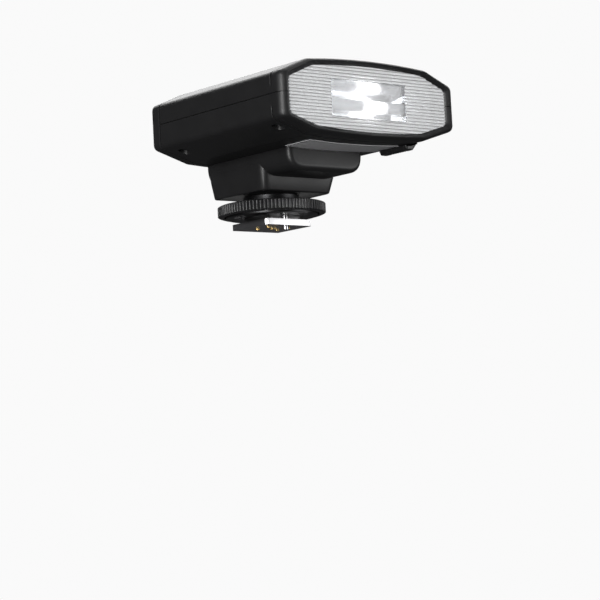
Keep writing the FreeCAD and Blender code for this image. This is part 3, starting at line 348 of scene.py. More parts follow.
def lift(flat, axis, height):
    """Points of a flat path stood across an axis at a height along it: (y, z) for X, (x, z) for Y, (x, y) for Z."""
    flat = np.asarray(flat, float)
    solid = np.column_stack([flat, np.broadcast_to(height, len(flat))])
    return solid[:, AXES[axis]]


def skin(name, rows):
    """Closed skin over a stack of loops with equal numbers of points; the first and last are capped."""
    count, around = len(rows), len(rows[0])
    faces = grid_faces(count, around, wrap_columns=True)
    faces += [list(range(around)), list(range((count - 1) * around, count * around))]
    return mesh_object(name, np.concatenate(rows), faces)


def loop(corners, radii, **steps):
    """Closed path with rounded corners, starting in the middle of its last side."""
    corners = [np.array(c, float) for c in corners]
    middle = (corners[0] + corners[-1]) / 2
    return rounded_path([middle, *corners, middle], radii, **steps)[:-1]


def rectangle(low, high, radius, **steps):
    """Closed rounded rectangle between two corners."""
    (a, b), (c, d) = low, high
    return loop([(a, b), (c, b), (c, d), (a, d)], [radius] * 4, **steps)


def shrunk(path, inset):
    """Closed path moved inwards along its own normals by inset."""
    along = np.roll(path, -1, axis=0) - np.roll(path, 1, axis=0)
    along /= np.maximum(np.linalg.norm(along, axis=1, keepdims=True), 1e-9)
    inward = np.column_stack([-along[:, 1], along[:, 0]])
    area = np.sum(path[:, 0] * np.roll(path[:, 1], -1) - np.roll(path[:, 0], -1) * path[:, 1])
    return path + inward * inset * (1 if area > 0 else -1)


def block(name, path, axis, low, high, edge=0.0, edge_high=None, bend_steps=4):
    """Prism of a closed path along an axis. Its end edges are quarter rounds: at angle a the path is inset by
    edge (1 - sin a) and stands edge (1 - cos a) inside the end plane. One more row on each side of a round
    keeps the flats evenly shaded."""

    def end(plane, inwards, radius):
        if not radius:
            return [lift(path, axis, plane)]
        turns = np.linspace(0, math.pi / 2, bend_steps + 1)
        insets = [1.05, *(1 - np.sin(turns)), 0]
        rises = [0, *(1 - np.cos(turns)), 1.15]
        return [lift(shrunk(path, radius * i), axis, plane + inwards * radius * r) for i, r in zip(insets, rises)]

    return skin(name, end(low, 1, edge) + end(high, -1, edge if edge_high is None else edge_high)[::-1])


def lathe(name, profile, axis, centre, steps=64, ring=False):
    """Surface of revolution of (radius, height) points about an axis through centre. A ring's profile closes
    on itself; any other starts and ends on the axis."""
    radius, height = np.asarray(profile, float).T
    angle = np.linspace(0, 2 * math.pi, steps, endpoint=False)
    flat = np.stack([
        centre[0] + radius[:, None] * np.cos(angle), centre[1] + radius[:, None] * np.sin(angle),
        np.broadcast_to(height[:, None], (len(radius), steps)),
    ], axis=-1).reshape(-1, 3)
    return mesh_object(name, flat[:, AXES[axis]], grid_faces(len(radius), steps, wrap_rows=ring, wrap_columns=True))


(_, front_ridge, _), (head_half, shell_rear, roof_crest) = box_mm("upper_shell")
(_, _, floor_crest), (_, _, lower_top) = box_mm("lower_shell")
upper_low = box_mm("upper_shell")[0][2]
side_top, side_low = 39.8, 25.9
floor_edge, floor_half = 21.9, 22.3
roof = dict(sense=1, start=upper_low, shoulder=side_top, edge=44.6, half=23.5, crest=roof_crest)
keel = dict(sense=-1, start=lower_top, shoulder=side_low, edge=floor_edge, half=floor_half, crest=floor_crest)
shell_wall = 1.6
opening_half, opening_inset, opening_trim = 31.5, 2.1, 1.4
lens_face = box_mm("fresnel_lens")[0][1]
inner_front = front_ridge + 2.2
corner_round = 3.0
ridge_inset, ridge_rise = 2.0, 0.95


def crowned(path, half, edge, crest):
    """Bulges the flat top or bottom face: the height grows by (crest - edge)(1 - (x/half)^2) between its edges."""
    bulge = (crest - edge) * np.maximum(0, 1 - (path[:, 0] / half) ** 2)
    near = np.clip(1 - np.abs(path[:, 1] - edge) / 4.0, 0, 1)
    return np.column_stack([path[:, 0], path[:, 1] + bulge * near])


def across(part, right, edge, radii, sink):
    """Path of one shell's outline from the parting line on +X to the one on -X, given its +X corners."""
    path = rounded_path(right + [(-x, z) for x, z in reversed(right)], [*radii, *radii[::-1]])
    return crowned(path, right[-1][0], edge, part["crest"] - part["sense"] * sink)


def head_path(part, side_in, up_in):
    """Outline of one shell's outer face, drawn in at the sides and from above or below."""
    side, edge = head_half - side_in, part["edge"] - part["sense"] * up_in
    shoulder = part["shoulder"] - part["sense"] * 0.56 * up_in
    right = [(side, part["start"]), (side, shoulder), (part["half"] - 0.25 * up_in, edge)]
    return across(part, right, edge, (2.2, 3.4), up_in)


def opening_path(part, grow=0.0):
    """Outline of one shell's share of the lens opening, grown outwards by grow."""
    side, edge = opening_half + grow, part["edge"] - part["sense"] * (opening_inset - grow)
    shoulder = part["shoulder"] - part["sense"] * (opening_trim - 0.2 * grow)
    right = [(side, part["start"]), (side, shoulder), (part["half"] - opening_trim + 0.4 * grow, edge)]
    return across(part, right, edge, (2.0, 3.0), opening_inset - grow)


groove_y, groove_wide, groove_deep = front_ridge + 5.15, 0.5, 0.6
groove_reach = 4.0


def groove_share(path):
    """1 where the groove behind the frame is cut, 0 on the middle of the sides, with a short run-out."""
    z = path[:, 1]
    return np.clip((np.maximum(z - (side_top - groove_reach), side_low + groove_reach - z)) / 0.6, 0, 1)


def shell(name, part):
    """A shell's wall: stations from the rear lip forwards along the outside, round the front corner, down the
    frame's slope, through the opening and back along the inside."""
    outer = head_path(part, 0, 0)
    share = groove_share(outer)[:, None]
    edge_path, sunk = head_path(part, 0.12, 0.12), head_path(part, groove_deep, groove_deep)
    half = groove_wide / 2
    rows = [
        lift(head_path(part, inset, inset), "Y", shell_rear - ahead)
        for inset, ahead in ((0.3, 0), (0.08, 0.08), (0, 0.3), (0, 0.6))
    ]
    for y, bottom in (
        (half + 0.5, outer), (half + 0.1, outer), (half, edge_path), (half - 0.03, sunk), (0.03 - half, sunk),
        (-half, edge_path), (-half - 0.1, outer), (-half - 0.4, outer),
    ):
        rows.append(lift(outer + share * (bottom - outer), "Y", groove_y + y))
    full = math.acos(1 - ridge_inset / corner_round)
    for bend in np.linspace(0, 1, 9):
        drawn = (1 - math.cos(full * bend)) / (1 - math.cos(full))
        forward = corner_round * math.sin(full * bend) / math.sin(full)
        rows.append(lift(
            head_path(part, ridge_inset * drawn, ridge_rise * drawn), "Y", front_ridge + corner_round - forward
        ))
    ridge, opening = head_path(part, ridge_inset, ridge_rise), opening_path(part)
    slope_end = lens_face + 0.3
    for along, sink in ((0.08, 0.02), (0.2, 0.12), (0.6, 0.55), (0.92, 0.93), (1.0, 1.25)):
        rows.append(lift(ridge + along * (opening - ridge), "Y", front_ridge + sink * (slope_end - front_ridge)))
    rows += [
        lift(opening, "Y", inner_front),
        lift(head_path(part, shell_wall, shell_wall), "Y", inner_front),
        lift(head_path(part, shell_wall, shell_wall), "Y", shell_rear),
    ]
    count, wide = len(rows), len(rows[0])
    ends = [[r * wide for r in range(count)], [r * wide + wide - 1 for r in range(count)]]
    return mesh_object(name, np.concatenate(rows), grid_faces(count, wide, wrap_rows=True) + ends)


well_x, well_radius, well_seat = 29.8, 1.9, 27.0
screw_low, screw_high = box_mm("case_screws")
well_ys = (screw_low[1] + 1.65, screw_high[1] - 1.65)
tray_high = box_mm("battery_tray")[1]
door_low_corner, door_high_corner = box_mm("battery_door")
door_gap = 0.3
knuckle_radius, knuckle_low, knuckle_high = 1.3, 27.0, 38.4
hinge_x, hinge_y = head_half - knuckle_radius, tray_high[1] + 1.2
outside = head_half + 1
latch_low, latch_high = box_mm("door_latch")


def door_cutters():
    """Room for the battery door: its rounded panel, the knuckle behind it, and the sweep of its rear edge."""
    z = (door_low_corner[2] - door_gap, door_high_corner[2] + door_gap)
    panel_path = rectangle((door_low_corner[1] - door_gap, z[0]), (tray_high[1] + 0.2, z[1]), 0.9)
    knuckle_front, knuckle_rear = tray_high[1] - 0.5, hinge_y + knuckle_radius + door_gap
    knuckle_path = rectangle((knuckle_front, knuckle_low - door_gap), (knuckle_rear, knuckle_high + door_gap), 0.5)
    a = np.linspace(0, -math.pi / 2, 13)
    beside_pin = np.column_stack([hinge_x + knuckle_radius * np.cos(a), hinge_y + knuckle_radius * np.sin(a)])
    corner = [(hinge_x, knuckle_front), (outside, knuckle_front), (outside, hinge_y)]
    return [
        block("panel", panel_path, "X", 28.2, outside),
        block("knuckle", knuckle_path, "X", hinge_x - knuckle_radius - door_gap, outside),
        block("sweep", np.concatenate([corner, beside_pin]), "Z", *z),
    ]


casing_abs = material(
    "casing_abs", (0.014, 0.014, 0.0145), 0.44, grain=0.16, relief=0.005, mottle=0.25, wear=0.05,
)
upper_shell = shell("casing_top", roof)
carve(upper_shell, door_cutters())
lower_shell = shell("casing_bottom", keel)
well_spots = [(s * well_x, y) for s in (-1, 1) for y in well_ys]
wells = [
    block("well", rectangle((x - well_radius, y - well_radius), (x + well_radius, y + well_radius),
                            well_radius * 0.999), "Z", 20, well_seat)
    for x, y in well_spots
]
latch_slot = block("slot", rectangle(
    (latch_low[0] + 0.9, latch_low[1] + 0.7), (latch_low[0] + 3.1, latch_low[1] + 6.2), 0.3), "Z", 19.5, 25)
carve(lower_shell, door_cutters() + wells + [latch_slot])
sleeve_low, sleeve_radius, shank_radius, sleeve_top = 25.3, 2.9, 1.05, lower_top - 0.2
sleeve = [
    (well_radius, sleeve_low), (well_radius, well_seat), (shank_radius, well_seat), (shank_radius, sleeve_top),
    (sleeve_radius, sleeve_top), (sleeve_radius, sleeve_low),
]
lower_shell = join("casing_bottom", [lower_shell] + [
    lathe("sleeve", sleeve, "Z", spot, 32, ring=True) for spot in well_spots
])


def put(piece, finish, slot, body, *nodes):
    """Gives a finished piece its material and its body, and hides the nodes that it stands for; the slot is not used.
    """
    piece.data.materials.clear()
    piece.data.materials.append(finish)
    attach(piece, body)
    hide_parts(*nodes)
    return piece


put(tidy_mesh(upper_shell), casing_abs, "black_casing", "flash_body", "upper_shell")
put(tidy_mesh(lower_shell), casing_abs, "black_casing", "flash_body", "lower_shell")

# ----------------------------------------
# Rear cover: a shallow ABS tray that closes the back of the head, with openings for the screen, the four
# buttons and the power switch. It is clipped to the shells behind an open seam.
# ----------------------------------------
(_, cover_front, _), (_, cover_back, _) = box_mm("rear_cover")
cover_inner = cover_back - shell_wall
middle_z = (side_top + side_low) / 2
window_low, window_high = box_mm("screen_window")
button_nodes = ("mode_button", "plus_button", "test_button", "minus_button")
button_radius = 2.6


def centre_mm(node):
    """Middle of a node's box, in millimetres."""
    low, high = box_mm(node)
    return (low + high) / 2


def head_loop(inset):
    """Closed outline of the whole head, drawn in all round."""
    return np.concatenate([head_path(roof, inset, inset), head_path(keel, inset, inset)[::-1]])


def button_spot(node):
    """Where a button's axis meets the cover: (x, z)."""
    middle = centre_mm(node)
    return middle[0], middle[2]


edge_turn = np.linspace(0, math.pi / 2, 7)
cover_round = 1.3
cover_stations = [
    (shell_wall, cover_inner), (shell_wall, cover_front), (0.3, cover_front), (0.08, cover_front + 0.08),
    (0, cover_front + 0.3), (0, cover_front + 0.6), (0, cover_back - cover_round - 0.2),
] + [(cover_round * (1 - math.cos(a)), cover_back - cover_round * (1 - math.sin(a))) for a in edge_turn]
rear_cover = skin("back_cover", [lift(head_loop(inset), "Y", y) for inset, y in cover_stations])
knob_low, knob_high = box_mm("power_switch")
switch_x = (knob_low[0] + knob_high[0]) / 2
slot_half, slot_rise = 2.2, 4.0
through = ("Y", cover_inner - 1, cover_back + 1)
cover_cutters = [
    block("opening", rectangle(
        (window_low[0] - 0.1, window_low[2] - 0.1), (window_high[0] + 0.1, window_high[2] + 0.1), 1.0), *through),
    block("opening", rectangle(
        (switch_x - slot_half, middle_z - slot_rise), (switch_x + slot_half, middle_z + slot_rise), 0.7), *through),
]
button_hole = [
    (0, cover_inner - 1), (button_radius + 0.3, cover_inner - 1), (button_radius + 0.3, cover_back - 0.25),
    (button_radius + 0.55, cover_back), (button_radius + 0.6, cover_back + 1), (0, cover_back + 1),
]
cover_cutters += [lathe("opening", button_hole, "Y", button_spot(node), 48) for node in button_nodes]
carve(rear_cover, cover_cutters)
put(tidy_mesh(rear_cover), casing_abs, "black_casing", "flash_body", "rear_cover")

# ----------------------------------------
# Battery door: an ABS panel that continues the casing's side, with finger grooves at its free edge and a
# knuckle that turns on a steel pin. Two contact sheets are staked to its inside.
# ----------------------------------------


def wall_strip(name, front, rear):
    """Closed wall of the whole head between two stations, as thick as the casing."""
    outer, inner = head_loop(0), head_loop(shell_wall)
    rows = [lift(outer, "Y", front), lift(outer, "Y", rear), lift(inner, "Y", rear), lift(inner, "Y", front)]
    return mesh_object(name, np.concatenate(rows), grid_faces(4, len(outer), wrap_rows=True, wrap_columns=True))


door_front, door_rear = door_low_corner[1], tray_high[1] - door_gap - 0.1
door = wall_strip("door", door_front - 1, door_rear + 1)
door_path = rectangle((door_front, door_low_corner[2]), (door_rear, door_high_corner[2]), 0.7)
carve(door, [block("door_outline", door_path, "X", 28.5, outside)], "INTERSECT")
grip_count, grip_pitch, grip_wide, grip_rise, grip_deep = 5, 1.3, 0.6, 4, 0.35
grip_starts = door_front + 2.2 + grip_pitch * np.arange(grip_count)
carve(door, [
    block("grip", rectangle((y, middle_z - grip_rise), (y + grip_wide, middle_z + grip_rise), 0.28),
          "X", head_half - grip_deep, outside)
    for y in grip_starts
])
pin_bore, knuckle_edge = 0.66, 0.15
knuckle_ring = [
    (pin_bore, knuckle_low), (knuckle_radius - knuckle_edge, knuckle_low),
    (knuckle_radius, knuckle_low + knuckle_edge),
    (knuckle_radius, knuckle_high - knuckle_edge), (knuckle_radius - knuckle_edge, knuckle_high),
    (pin_bore, knuckle_high),
]
arm_path = rectangle((hinge_x - 0.6, door_rear - 0.4), (head_half, hinge_y - 0.72), 0.15)
battery_door = join("battery_cover", [
    door, block("arm", arm_path, "Z", knuckle_low, knuckle_high, 0.1),
    lathe("knuckle", knuckle_ring, "Z", (hinge_x, hinge_y), 32, ring=True),
])
put(tidy_mesh(battery_door), casing_abs, "black_casing", "battery_door", "battery_door")

# ----------------------------------------
# Battery latch: a low moulded wedge under the right-hand corner, with thumb ridges across its underside. Its
# stem slides in a slot of the lower shell.
# ----------------------------------------
latch_x, latch_front, wedge_low = latch_low
latch_section = loop(
    [
        (latch_x + 0.6, 21.6), (latch_x + 1.2, wedge_low), (latch_x + 3.7, wedge_low), (latch_high[0], 22.8),
        (floor_half, floor_edge - 0.05),
    ],
    [0.2, 0.6, 0.8, 0.2, 0.2],
)
thumb_start, thumb_pitch, thumb_count, thumb_deep, end_round = 2.5, 1.1, 7, 0.28, 0.5
latch_rows = []
for y in np.linspace(latch_front, latch_high[1], 121):
    to_end = min(y - latch_front, latch_high[1] - y)
    taper = end_round * (1 - math.sqrt(1 - (1 - min(to_end / end_round, 1)) ** 2))
    ridge_phase = (y - latch_front - thumb_start) / thumb_pitch
    ridge = thumb_deep * (0.5 - 0.5 * math.cos(2 * math.pi * ridge_phase)) * (0 < ridge_phase < thumb_count)
    section = shrunk(latch_section, taper)
    near_low = np.clip((20.9 - section[:, 1]) / 0.8, 0, 1)
    latch_rows.append(lift(np.column_stack([section[:, 0], section[:, 1] + ridge * near_low]), "Y", y))
stem_y = (latch_front + 1, latch_front + 3.4)
latch = join("battery_latch", [
    skin("latch_knob", latch_rows),
    block("latch_stem", rectangle((latch_x + 1.3, stem_y[0]), (latch_x + 2.7, stem_y[1]), 0.2),
          "Z", wedge_low + 0.8, latch_high[2] - 0.4),
    block("latch_foot", rectangle((latch_x - 0.4, stem_y[0]), (latch_x + 3.0, stem_y[1]), 0.2),
          "Z", latch_high[2] - 0.8, latch_high[2], 0.1),
])
control_abs = material(
    "control_abs", (0.02, 0.02, 0.021), 0.36, grain=0.12, relief=0.006, mottle=0.15, wear=0.05)
put(tidy_mesh(latch, 40), control_abs, "black_controls", "door_latch", "door_latch")

# ----------------------------------------
# Lens: a clear acrylic plate moulded with horizontal cylinder ribs that spread the light, and a flat clear
# window in its middle. A flange behind the frame holds it.
# ----------------------------------------
rib_pitch, rib_deep = 1.0, 0.42
window_half, window_bottom, window_top = 15.0, 27.3, 39.0
flange_front, flange_back = inner_front + 0.05, inner_front + 1.25
plate_half, plate_low, plate_high, window_sink, blend = 33.0, 20.5, 46.2, 0.22, 0.12
rib_z = np.linspace(plate_low, plate_high, 412)
rib_x = np.concatenate([[-plate_half], np.linspace(-window_half - blend, -window_half + blend, 5),
                        np.linspace(-window_half + 1, window_half - 1, 9),
                        np.linspace(window_half - blend, window_half + blend, 5), [plate_half]])
phase = np.abs(2 * np.mod((rib_z - window_bottom) / rib_pitch, 1.0) - 1)
valley = rib_deep * phase**2.4
grid_x, grid_z = np.meshgrid(rib_x, rib_z)
inside_height = np.minimum(grid_z - window_bottom, window_top - grid_z)
inside_window = np.clip(np.minimum(window_half + blend / 2 - np.abs(grid_x), inside_height) / blend, 0, 1)
grid_y = lens_face + (1 - inside_window) * valley[:, None] + inside_window * window_sink
front = np.stack([grid_x, grid_y, grid_z], axis=-1).reshape(-1, 3)
rows, columns = grid_x.shape
back = front * [1, 0, 1] + [0, flange_front + 0.1, 0]
count = rows * columns
index = np.arange(count).reshape(rows, columns)
rim = np.concatenate([index[0, :], index[1:, -1], index[-1, -2::-1], index[-2:0:-1, 0]])
lens_faces = np.concatenate([
    grid_faces(rows, columns), (np.array(grid_faces(rows, columns)) + count)[:, ::-1],
    np.stack([rim, np.roll(rim, -1), np.roll(rim, -1) + count, rim + count], axis=-1),
])
lens = mesh_object("lens", np.concatenate([front, back]), lens_faces)


def opening_loop(grow):
    """Closed outline of the whole lens, grown by grow."""
    return np.concatenate([opening_path(roof, grow), opening_path(keel, grow)[::-1]])


carve(lens, [block("lens_outline", opening_loop(-0.1), "Y", lens_face - 1, flange_front + 0.1)], "INTERSECT")
flange = block("lens_flange", opening_loop(0.4), "Y", flange_front, flange_back, 0.1)
clear_acrylic = material("clear_acrylic", (0.93, 0.94, 0.95), 0.03, IOR=1.49, Transmission_Weight=1.0)
# The ribbed faces carry painted light: a faint painted glow from their emission, though nothing lights them.
ribbed_acrylic_painted_shade_glow = material(
    "ribbed_acrylic_painted_shade_glow", (0.88, 0.89, 0.9), 0.22, IOR=1.49, Transmission_Weight=0.2, Emission_Color=(1, 1, 1, 1),
    Emission_Strength=0.12)
# Painted shade: a thin dark line is painted along the crown of each rib, fading to the pale base colour over its
# flanks.
rib_phase = chained(
    ribbed_acrylic_painted_shade_glow, coordinate(ribbed_acrylic_painted_shade_glow, "Z"), ("SUBTRACT", window_bottom * MM), ("DIVIDE", rib_pitch * MM),
    ("FRACT", None), ("SUBTRACT", 0.5), ("ABSOLUTE", None),
)
graded(ribbed_acrylic_painted_shade_glow, "Base Color", rib_phase, [(0.06, (0.08, 0.08, 0.085)), (0.2, (0.9, 0.91, 0.92))])
lens = join("lens", [lens, flange])
tidy_mesh(lens, 50)
put(lens, clear_acrylic, "lens_clear", "flash_body", "fresnel_lens")
lens.data.materials.append(ribbed_acrylic_painted_shade_glow)
face_count = len(lens.data.polygons)
middle, facing = np.zeros(face_count * 3), np.zeros(face_count * 3)
lens.data.polygons.foreach_get("center", middle)
lens.data.polygons.foreach_get("normal", facing)
middle, facing = middle.reshape(-1, 3) / MM, facing.reshape(-1, 3)
ribbed = (middle[:, 1] < flange_front - 0.3) & (facing[:, 1] < -0.2) & ~(
    (np.abs(middle[:, 0]) < window_half) & (middle[:, 2] > window_bottom) & (middle[:, 2] < window_top))
lens.data.polygons.foreach_set("material_index", ribbed.astype(np.int32))


def dress(node, finish):
    """Gives a node of the design model its finish."""
    cad[node].data.materials.clear()
    cad[node].data.materials.append(finish)


dress("reflector", material(
    "bright_sheet", (0.9, 0.9, 0.91), 0.2, 1.0, grain=0.6, relief=0.004, mottle=0.03, wear=0.06))
tube_low, tube_high = box_mm("flash_tube")
_, tube_y, tube_z = centre_mm("flash_tube")
tube_radius, tube_half = (tube_high[1] - tube_low[1]) / 2, tube_high[0]
end_turn = np.linspace(0, math.pi / 2, 7)
tube_profile = [(tube_radius * math.sin(a), -tube_half + 1.2 * (1 - math.cos(a))) for a in end_turn]
tube_profile += [(r, -h) for r, h in reversed(tube_profile)]
tube_profile[0], tube_profile[-1] = (0, -tube_half), (0, tube_half)
tube = lathe("tube", tube_profile, "X", (tube_y, tube_z), 40)
tube_glow = material("tube_glow", (0.98, 0.98, 1.0), 0.05, IOR=1.47, Emission_Color=(1.0, 0.98, 0.96, 1))
# Painted light: the tube glows though nothing lights it. A painted highlight peaks 9 mm along +X from its middle and
# fades to a faint glow along the rest.
painted_glow_centre, painted_glow_half, painted_glow_core, glow_low, glow_high = 9.0, 6.0, 0.5, 0.05, 4.5
from_painted_glow = chained(tube_glow, coordinate(tube_glow, "X"), ("SUBTRACT", painted_glow_centre * MM), ("ABSOLUTE", None))
ranged(tube_glow, "Emission Strength", from_painted_glow, (painted_glow_half * MM, painted_glow_core * MM), (glow_low, glow_high),
       interpolation_type="SMOOTHSTEP")
put(tidy_mesh(tube), tube_glow, "tube_glass", "flash_body", "flash_tube")
dress("tube_end_caps", material("silicone", (0.75, 0.73, 0.7), 0.6, grain=0.3, relief=0.01, mottle=0.06))
dress("reflector_holder", material(
    "holder_plastic", (0.03, 0.03, 0.032), 0.5, grain=0.2, relief=0.01, mottle=0.15))

# ----------------------------------------
# Controls at the back: dished push buttons with plain marks, a clear window over a grey liquid crystal panel,
# and a ridged sliding switch, all on the display board.
# ----------------------------------------
button_low, button_high = box_mm("plus_button")
button_face = button_high[1]
dish = [
    (0, button_face - 0.32), (0.9, button_face - 0.28), (1.7, button_face - 0.16), (2.2, button_face - 0.03),
    (2.35, button_face), (2.5, button_face - 0.05), (button_radius, button_face - 0.2),
]
button_skirt = [
    (button_radius, cover_inner - 0.3), (button_radius + 0.7, cover_inner - 0.3),
    (button_radius + 0.7, cover_inner - 0.8), (button_radius, cover_inner - 0.8), (button_radius, button_low[1]),
    (0, button_low[1]),
]
mark_long, mark_wide, mark_floor = 1.0, 0.2, button_face - 0.5
lamp_red = material(
    "lamp_red", (0.5, 0.06, 0.04), 0.25, grain=0.3, relief=0.004, mottle=0.1, Transmission_Weight=0.35)
for node in button_nodes:
    x, z = button_spot(node)
    button = lathe(node + "_cap", dish + button_skirt, "Y", (x, z), 56)
    bars = {"plus_button": [(mark_long, mark_wide), (mark_wide, mark_long)], "minus_button": [(mark_long, mark_wide)]}
    for wide, tall in bars.get(node, []):
        carve(button, [block(
            "mark", rectangle((x - wide, z - tall), (x + wide, z + tall), 0.15), "Y", mark_floor, button_face + 1)])
    if node == "mode_button":
        carve(button, [lathe("mark", [
            (0.75, mark_floor), (0.75, button_face + 1), (1.1, button_face + 1), (1.1, mark_floor)
        ], "Y", (x, z), 40, ring=True)])
    finish, slot = (lamp_red, "test_lamp") if node == "test_button" else (control_abs, "black_controls")
    put(tidy_mesh(button), finish, slot, node, node)

knob_z = (knob_low[2] + 0.9, knob_high[2] - 0.9)
knob_path = rectangle((switch_x - 1.9, knob_z[0]), (switch_x + 1.9, knob_z[1]), 0.4)
knob = block("knob", knob_path, "Y", knob_low[1], knob_high[1], 0, 0.25)
carve(knob, [
    block("ridge", rectangle((switch_x - 3, z - 0.2), (switch_x + 3, z + 0.2), 0.1),
          "Y", knob_high[1] - 0.45, knob_high[1] + 1)
    for z in np.linspace(knob_z[0] + 0.9, knob_z[1] - 0.9, 4)
])
knob_flange = block("knob_flange", rectangle((knob_low[0], knob_low[2]), (knob_high[0], knob_high[2]), 0.3),
                    "Y", cover_inner - 1.0, cover_inner - 0.3, 0.1)
switch_knob = tidy_mesh(join("switch_knob", [knob, knob_flange]))
put(switch_knob, control_abs, "black_controls", "power_switch", "power_switch")

window_acrylic = material("window_acrylic", (0.96, 0.97, 0.98), 0.04, IOR=1.49, Transmission_Weight=1.0)
pane = block("screen_pane", rectangle((window_low[0], window_low[2]), (window_high[0], window_high[2]), 0.9),
             "Y", window_low[1], window_high[1], 0.1, 0.15)
put(tidy_mesh(pane), window_acrylic, "screen_glass", "flash_body", "screen_window")
dress("screen_panel", material("display_grey", (0.3, 0.34, 0.3), 0.3, mottle=0.05, grain=0.25, relief=0.002))

# ----------------------------------------
# Neck: an ABS pedestal screwed under the head. Its upper block overhangs forwards with large round lower
# corners; the lower block narrows a little downwards and its back slopes forwards to the wheel.
# ----------------------------------------
neck_low, neck_high = box_mm("pedestal")
neck_half, neck_top = neck_high[0], 23.8
block_floor, neck_corner = 14.4, 6.1
upper_front, upper_back = neck_low[1], 13.2
upper_section = loop(
    [(-neck_half, neck_top), (-neck_half, block_floor), (neck_half, block_floor), (neck_half, neck_top)],
    [2.1, neck_corner, neck_corner, 2.1], arc_steps=14,
)
upper_block = block("neck_upper", upper_section, "Y", upper_front, upper_back, 1.9, 0.4, bend_steps=8)
front_half, back_half, wide_half = 13.9, 14.8, 15.0
foot_front, top_front = 14.1, 15.4
foot_back, top_back = 11.3, 14.1
front_corner, back_corner = 2.7, 1.3
neck_bottom = neck_low[2]
lower_rows = []
flare_rise = 5.0
for rise, inset in (
    (0, 0.45), (0.06, 0.25), (0.2, 0.08), (0.45, 0), (flare_rise, 0), (8.0, 0), (neck_top - neck_bottom, 0),
):
    share = min(rise / flare_rise, 1.0)
    half_front, half_back = (h + share * (wide_half - h) for h in (front_half, back_half))
    ahead = foot_front + share * (top_front - foot_front)
    behind = foot_back + (top_back - foot_back) * min(rise / (floor_edge - neck_bottom), 1)
    lower_rows.append(lift(shrunk(loop(
        [(-half_front, -ahead), (half_front, -ahead), (half_back, behind), (-half_back, behind)],
        [front_corner, front_corner, back_corner, back_corner]), inset), "Z", neck_bottom + rise))
neck = join("neck", [upper_block, skin("neck_lower", lower_rows)])
put(tidy_mesh(neck), casing_abs, "black_casing", "flash_body", "pedestal")

# ----------------------------------------
# Locking wheel: black moulded wheel with ninety rounded ribs round its rim and a hollow underside. It runs
# on the stem and presses the clamp plate on the shoe.
# ----------------------------------------
wheel_low, wheel_high = box_mm("locking_wheel")
wheel_radius, wheel_bore = wheel_high[0], 9.06
rib_count, rib_depth, samples = 90, 0.55, 10
wheel_rim, wheel_hollow, wheel_edge = 2.1, 1.6, 0.45
low, high = wheel_low[2], wheel_high[2]
rim_inner, rib_root = wheel_radius - wheel_rim, wheel_radius - rib_depth
# radius, height, and how much of the ribs' depth shows there
wheel_profile = np.array([
    (wheel_bore, low + wheel_hollow, 0), (rim_inner - 0.3, low + wheel_hollow, 0),
    (rim_inner, low + wheel_hollow - 0.3, 0), (rim_inner, low + 0.15, 0), (rim_inner + 0.15, low, 0),
    (rib_root - wheel_edge, low, 0), (rib_root - 0.1, low + 0.12, 0),
    (wheel_radius - 0.12, low + wheel_edge * 0.7, 0.7), (wheel_radius, low + wheel_edge, 1),
    (wheel_radius, high - wheel_edge, 1), (wheel_radius - 0.12, high - wheel_edge * 0.7, 0.7),
    (rib_root - 0.1, high - 0.12, 0), (rib_root - wheel_edge, high, 0), (wheel_radius - 3.0, high, 0),
    (wheel_radius - 3.3, high - 0.25, 0), (wheel_bore + 1.2, high - 0.25, 0), (wheel_bore + 1.0, high, 0),
    (wheel_bore + 0.1, high, 0), (wheel_bore, high - 0.1, 0),
])
around = np.linspace(0, 2 * math.pi, rib_count * samples, endpoint=False)
ripple = rib_depth * (1 - np.abs(np.cos(rib_count / 2 * around)) ** 0.7)
radius = wheel_profile[:, :1] - wheel_profile[:, 2:] * ripple
wheel_points = np.stack([
    radius * np.cos(around), radius * np.sin(around), np.broadcast_to(wheel_profile[:, 1:2], radius.shape)
], axis=-1).reshape(-1, 3)
wheel = mesh_object("knurled_wheel", wheel_points, grid_faces(len(wheel_profile), len(around), True, True))
put(tidy_mesh(wheel, 35), control_abs, "black_controls", "locking_wheel", "locking_wheel")

# ----------------------------------------
# Stem, clamp plate and foot: a blackened steel stem bolted under the neck, a steel clamp plate inside the
# wheel, and a brushed die-cast foot that slides in the shoe. Their edges are broken by a small chamfer.
# ----------------------------------------


def eased_copy(node, width, flat_angle=1.0, crease=32):
    """Copy of a node of the design model with its doubled points merged, flat faces made whole and edges rounded
    by width millimetres."""
    mesh = cad[node].data.copy()
    shape = bmesh.new()
    shape.from_mesh(mesh)
    bmesh.ops.remove_doubles(shape, verts=shape.verts, dist=2e-6)
    bmesh.ops.dissolve_limit(
        shape, angle_limit=math.radians(flat_angle), verts=shape.verts, edges=shape.edges, delimit={"NORMAL"})
    shape.to_mesh(mesh)
    shape.free()
    copy = linked(node + "_eased", mesh)
    bevel = copy.modifiers.new("edge", "BEVEL")
    bevel.width, bevel.segments, bevel.limit_method = width * MM, 2, "ANGLE"
    bevel.angle_limit = math.radians(crease)
    apply_modifiers(copy)
    smooth(copy.data, crease)
    return copy


def put_eased(finish, slot, body, **widths):
    """Puts an eased copy of each named node in its own place."""
    for node, width in widths.items():
        put(eased_copy(node, width), finish, slot, body, node)


